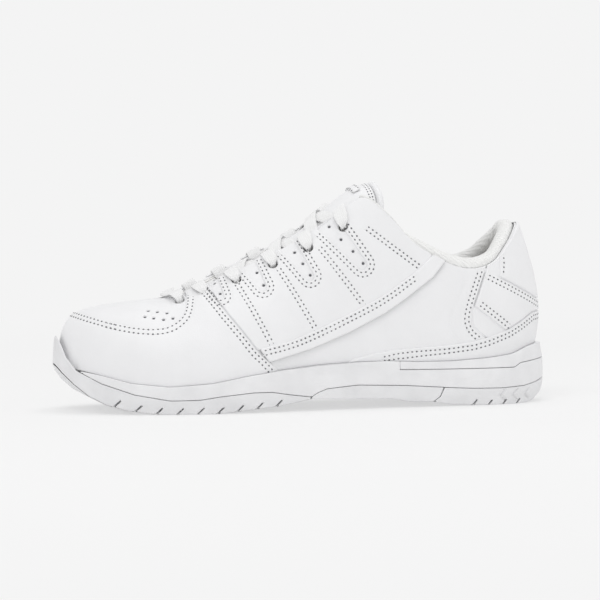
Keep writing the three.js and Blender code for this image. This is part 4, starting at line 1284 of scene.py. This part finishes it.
def make_lace():
    stops = lace_route()
    route = centripetal([at for at, _ in stops])
    squeezes = np.array([squeeze for _, squeeze in stops])
    share = np.linspace(0, 1, (len(stops) - 1) * 7 + 1)
    at, tangent = route(share), tangents(route, share)
    tongue_z = np.interp(at[:, 0], tongue_points[:, 0], tongue_points[:, 1])
    ahead = np.interp(at[:, 0] + 4, tongue_points[:, 0], tongue_points[:, 1])
    throat = unit(np.stack([0 * tongue_z + 4, 0 * tongue_z, ahead - tongue_z + 1e-3], 1))
    aside = unit(throat - tangent * (throat * tangent).sum(1, keepdims=True))
    # The width turns smoothly from one ring to the next.
    for _ in range(3):
        aside[1:-1] = unit(aside[:-2] + 2 * aside[1:-1] + aside[2:])
        aside = unit(aside - tangent * (aside * tangent).sum(1, keepdims=True))
    over = np.cross(tangent, aside)
    squeeze = np.interp(share * (len(stops) - 1), np.arange(len(stops)), squeezes)
    w = LACE_WIDTH / 2 * squeeze
    h = LACE_THICKNESS / 2 * (1 + 0.6 * (1 - squeeze))
    turns = np.linspace(0, 2 * math.pi, 20, endpoint=False)
    rings = []
    for turn in turns:
        c, s = math.cos(turn), math.sin(turn)
        flat = math.copysign(abs(c) ** 0.55, c)
        thick = math.copysign(abs(s) ** 0.6, s)
        ribbed = 1 + 0.1 * math.cos(5 * math.pi * flat)
        rings.append(at + aside * (w * flat)[:, None] + over * (h * thick * ribbed)[:, None])
    rings = np.stack(rings, 1)
    points, faces = loft(rings)
    lace = make("lace", points, faces, WEBBING, stands_for=("lace",))
    length = np.concatenate([[0], np.cumsum(np.linalg.norm(np.diff(at, axis=0), axis=1))])
    across = (rings - at[:, None]) * aside[:, None]
    across = across.sum(-1)
    uv = np.stack([np.repeat(length, len(turns)), across.reshape(-1)], 1)
    layer = lace.data.uv_layers.new(name="along_lace")
    loops = np.zeros(len(lace.data.loops), dtype=np.int32)
    lace.data.loops.foreach_get("vertex_index", loops)
    layer.data.foreach_set("uv", uv[loops].astype(np.float32).reshape(-1))


make_lace()

# Sole ---------------------------------------------------------------------------------------

# How far the walls stand inside their widest line, by height.
WALL = np.array([[-3, 3.2], [0, 2.4], [6, 0.8], [14, 0], [24, 0.3], [34, 1], [44, 2]])
WALL_EDGE = 0.5
PARTING = 0.03
SOLE_COLUMNS = 13
WALL_PLACES = 241


def wall(p, z, inset=0.0):
    toe = from_toe(p)
    margin = 4 + np.maximum(2 - toe, 0) * 0.7 + np.maximum(toe - 13, 0) * 0.8
    margin = margin - np.interp(z / TALL, *WALL.T)
    point = rib_foot(p) + outward(p) * ((margin * WIDE) - inset)[..., None]
    point[..., 2] = z
    return point


def wall_width(x, z, inset):
    """The two y of the walls at each point of a side view line, and x kept within the walls."""
    sides = []
    for mirror in (lambda p: p, lambda p: AROUND - p):
        ps = np.linspace(0, HEEL, WALL_PLACES)
        ys, xs = [], []
        for one_x, one_z in zip(x, z):
            at = wall(mirror(ps), np.full(WALL_PLACES, one_z), inset)
            order = np.maximum.accumulate(at[:, 0])
            xs.append(np.clip(one_x, order[0], order[-1]))
            ys.append(np.interp(one_x, order, at[:, 1]))
        sides.append((np.array(xs), np.array(ys)))
    return sides[0][0], sides[0][1], sides[1][1]


def raised(line, dz):
    return [[x, z + dz] for x, z in line]


def notched(underside, places, width=1.2, lean=3.2, depth=3.2):
    """The underside with slanting flex grooves cut up into it, from toe to heel."""
    at = dense(underside, 2.0)
    at = at[np.argsort(at[:, 0])]
    stretches = [
        (x, [[x, z]]) for x, z in at if all(abs(x - g) > width / 2 + 0.3 for g in places)
    ]
    for g in places:
        ground = np.interp(g, at[:, 0], at[:, 1])
        left, right, top = g - width / 2, g + width / 2, ground + depth
        stretches.append((g, [
            [left, ground], [left + lean, top], [left + lean + 0.5 * width, top + 0.5],
            [right + lean, top], [right, ground],
        ]))
    stretches.sort(key=lambda stretch: stretch[0])
    return [point for _, points in stretches for point in points]


def sole_piece(name, outline, material, engraved=(), scoop=None):
    """Walls cut to a side view outline, with the faces that join them across the sole."""
    corners = np.array(outline, float)
    z_low, z_high = corners[:, 1].min() * TALL, corners[:, 1].max() * TALL
    rows = np.arange(0, AROUND + 0.025, 0.05)
    V, F = grid(rows, np.linspace(z_low - 0.5, z_high + 0.5, int((z_high - z_low) / 0.75) + 3))
    at = wall(V[:, 0], V[:, 1])
    f = inside_distance(outline, at[:, 0], at[:, 2]) - PARTING
    F = F[f[F].max(1) > -2]
    for level in (0, 0.05 * WALL_EDGE, 0.2 * WALL_EDGE, 0.5 * WALL_EDGE, WALL_EDGE):
        V, F, f = split(V, F, f, level)
    F = F[f[F].mean(1) > 0]
    used, F = np.unique(F, return_inverse=True)
    F, V, f = F.reshape(-1, 3), V[used], f[used]
    at = wall(V[:, 0], V[:, 1])
    inset = WALL_EDGE * (1 - round_edge(f, WALL_EDGE))
    for line, depth, width in engraved:
        marks = scaled(dense(line, 0.5))
        gap = np.full(len(at), 1e9)
        for x, z in marks:
            gap = np.minimum(gap, np.hypot(at[:, 0] - x, at[:, 2] - z))
        inset = np.maximum(inset, depth * np.exp(-((gap / width) ** 2)))
    if scoop:
        x, z, long, tall, depth = scoop
        away = ((at[:, 0] / LONG - x) / long) ** 2 + ((at[:, 2] / TALL - z) / tall) ** 2
        inset = inset + depth * np.exp(-away)
    points = wall(V[:, 0], V[:, 1], inset)
    line = scaled(dense(outline, 1.6, closed=True))
    x, low, high = wall_width(line[:, 0], line[:, 1], WALL_EDGE)
    shares = np.linspace(0, 1, SOLE_COLUMNS)
    across = np.stack([
        np.repeat(x, SOLE_COLUMNS), (low[:, None] + (high - low)[:, None] * shares).reshape(-1),
        np.repeat(line[:, 1], SOLE_COLUMNS),
    ], 1)
    _, G = grid(np.arange(len(line)), np.arange(SOLE_COLUMNS))
    turning = np.sum(corners[:, 0] * np.roll(corners[:, 1], -1)
                     - np.roll(corners[:, 0], -1) * corners[:, 1])
    if turning > 0:
        G = G[:, ::-1]
    points, F = merged(np.vstack([points, across]), np.vstack([F, G[:, ::-1] + len(points)]))
    make(name, points, F, material, stands_for=(name,))


fore_grooves = [-108 + 10.5 * k for k in range(9)]
heel_grooves = [86, 94.7, 103.3, 112]
fore_outline = [*notched(FORE_UNDERSIDE, fore_grooves), *FORE_OUTSOLE_TOP]
pod_underside = notched(POD_UNDERSIDE[:7], heel_grooves, lean=2.0, depth=2.6)
pod_outline = [*POD_TOP, *pod_underside[::-1], *POD_UNDERSIDE[7:]]
chevrons = [
    ([[x + 4.2, 8], [x + 1.2, 5.2], [x + 4.2, 2.6]], 1.1, 0.55) for x in (100, 108, 116)
]
sole_piece("outsole_forefoot", fore_outline, RUBBER_WHITE)
sole_piece("outsole_midfoot", [*STRIP_TOP, *STRIP_UNDERSIDE], RUBBER_WHITE)
sole_piece("outsole_heel", pod_outline, RUBBER_WHITE, chevrons)

outsole_top = [*FORE_OUTSOLE_TOP[:-3][::-1], *STRIP_TOP, *POD_TOP[:-1], [133.6, 13.6]]
feather = FEATHER_LINE[2:-1]
feather_at_ledge = [45, float(np.interp(45, *np.array(FEATHER_LINE).T)) - 0.1]
midsole_outline = [
    *raised(outsole_top, 0.2), *HEEL_BACK[:3], *LEDGE_LINE[::-1][1:], feather_at_ledge,
    *raised([p for p in feather if p[0] < 45], -0.1)[::-1],
]
rim_outline = [
    *raised(LEDGE_LINE, 0.2), *HEEL_BACK[3:],
    *raised([p for p in feather if p[0] > 45], -0.1)[::-1], feather_at_ledge,
]
sole_piece("midsole", midsole_outline, FOAM_WHITE, scoop=(9, 20, 20, 4.5, 1.6))
sole_piece("midsole_heel_rim", rim_outline, FOAM_WHITE)

# Stage, light and camera --------------------------------------------------------------------

AZIMUTH = math.radians(-13)
ELEVATION = math.radians(2.6)
ROLL = math.radians(-0.45)
DISTANCE = 1.6
VIEW_WIDTH = 0.3219
SENSOR = 36.0
AIM = Vector((-0.001 * LONG, 0, 0.0565 * TALL))
BACKGROUND = 0.905
NEAR_GLOW = 0.45


def add_camera():
    data = bpy.data.cameras.new("camera")
    data.sensor_width = SENSOR
    data.lens = SENSOR * DISTANCE / VIEW_WIDTH
    data.clip_end = 20
    camera = bpy.data.objects.new("camera", data)
    bpy.context.scene.collection.objects.link(camera)
    direction = Vector((
        math.sin(AZIMUTH) * math.cos(ELEVATION), -math.cos(AZIMUTH) * math.cos(ELEVATION),
        math.sin(ELEVATION),
    ))
    camera.location = AIM + direction * DISTANCE
    turn = (-direction).to_track_quat("-Z", "Y").to_matrix().to_4x4()
    camera.matrix_world = (
        Matrix.Translation(camera.location) @ turn @ Matrix.Rotation(ROLL, 4, "Z")
    )
    bpy.context.scene.camera = camera


def add_light(name, place, size, power, aim=(0, 0, 0.04)):
    data = bpy.data.lights.new(name, "AREA")
    data.shape = "RECTANGLE"
    data.size, data.size_y = size
    data.energy = power
    light = bpy.data.objects.new(name, data)
    bpy.context.scene.collection.objects.link(light)
    light.location = place
    toward = Vector(aim) - Vector(place)
    light.rotation_euler = toward.to_track_quat("-Z", "Y").to_euler()


def lit_far_off(tree, shader):
    """The paper glows a little under the shoe and evenly far off, so that no horizon shows."""
    glow = tree.nodes.new("ShaderNodeEmission")
    glow.inputs["Color"].default_value = (*[BACKGROUND] * 3, 1)
    place = tree.nodes.new("ShaderNodeTexCoord")
    distance = tree.nodes.new("ShaderNodeVectorMath")
    distance.operation = "LENGTH"
    tree.links.new(place.outputs["Object"], distance.inputs[0])
    share = tree.nodes.new("ShaderNodeMapRange")
    share.interpolation_type = "SMOOTHSTEP"
    share.inputs["From Min"].default_value = 0.22
    share.inputs["From Max"].default_value = 0.95
    share.inputs["To Min"].default_value = NEAR_GLOW
    tree.links.new(distance.outputs["Value"], share.inputs["Value"])
    mix = tree.nodes.new("ShaderNodeMixShader")
    tree.links.new(share.outputs["Result"], mix.inputs["Fac"])
    tree.links.new(shader.outputs["BSDF"], mix.inputs[1])
    tree.links.new(glow.outputs["Emission"], mix.inputs[2])
    tree.links.new(mix.outputs["Shader"], tree.nodes["Material Output"].inputs["Surface"])


def add_floor():
    """A pale floor that turns up into a backdrop on every side."""
    rings = [(0.0, 0.0), (0.5, 0.0), (1.2, 0.0), (2.4, 0.0), (3.0, 0.05), (3.5, 0.25),
             (3.8, 0.6), (3.95, 1.1), (4.0, 1.8), (4.0, 3.2)]
    count = 96
    points, faces = [], []
    for radius, height in rings:
        for k in range(count):
            turn = 2 * math.pi * k / count
            points.append((radius * math.cos(turn), radius * math.sin(turn), height))
    for i in range(len(rings) - 1):
        for j in range(count):
            a, b = i * count + j, i * count + (j + 1) % count
            faces.append((a, a + count, b + count, b))
    mesh = bpy.data.meshes.new("floor")
    mesh.from_pydata(points, [], faces)
    mesh.shade_smooth()
    material, tree, shader = node_material("floor_paper", 0.9)
    noise = texture(tree, "ShaderNodeTexNoise", 3.0, Detail=3.0)
    colour = ramp(tree, noise.outputs["Fac"], 0.3, 0.7, ((0.9, 0.9, 0.9), (0.915, 0.915, 0.915)))
    tree.links.new(colour, shader.inputs["Base Color"])
    lit_far_off(tree, shader)
    mesh.materials.append(material)
    floor = bpy.data.objects.new("floor", mesh)
    bpy.context.scene.collection.objects.link(floor)
    floor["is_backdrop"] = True


def add_world():
    world = bpy.data.worlds.new("studio")
    world.use_nodes = True
    background = world.node_tree.nodes["Background"]
    background.inputs["Color"].default_value = (1, 1, 1, 1)
    background.inputs["Strength"].default_value = 0.5
    bpy.context.scene.world = world


add_camera()
add_world()
add_floor()
add_light("key", (-0.7, -1.3, 1.9), (1.0, 0.8), 10)
add_light("top", (0.3, 0.2, 2.2), (1.6, 1.4), 13)
add_light("fill", (1.6, -1.4, 0.9), (1.2, 1.2), 1.5)
bpy.context.scene.view_settings.view_transform = "Standard"

boxes = {"cad": CAD_BOX, "visual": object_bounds()}
{key: [list(corner) for corner in box] for key, box in boxes.items()}
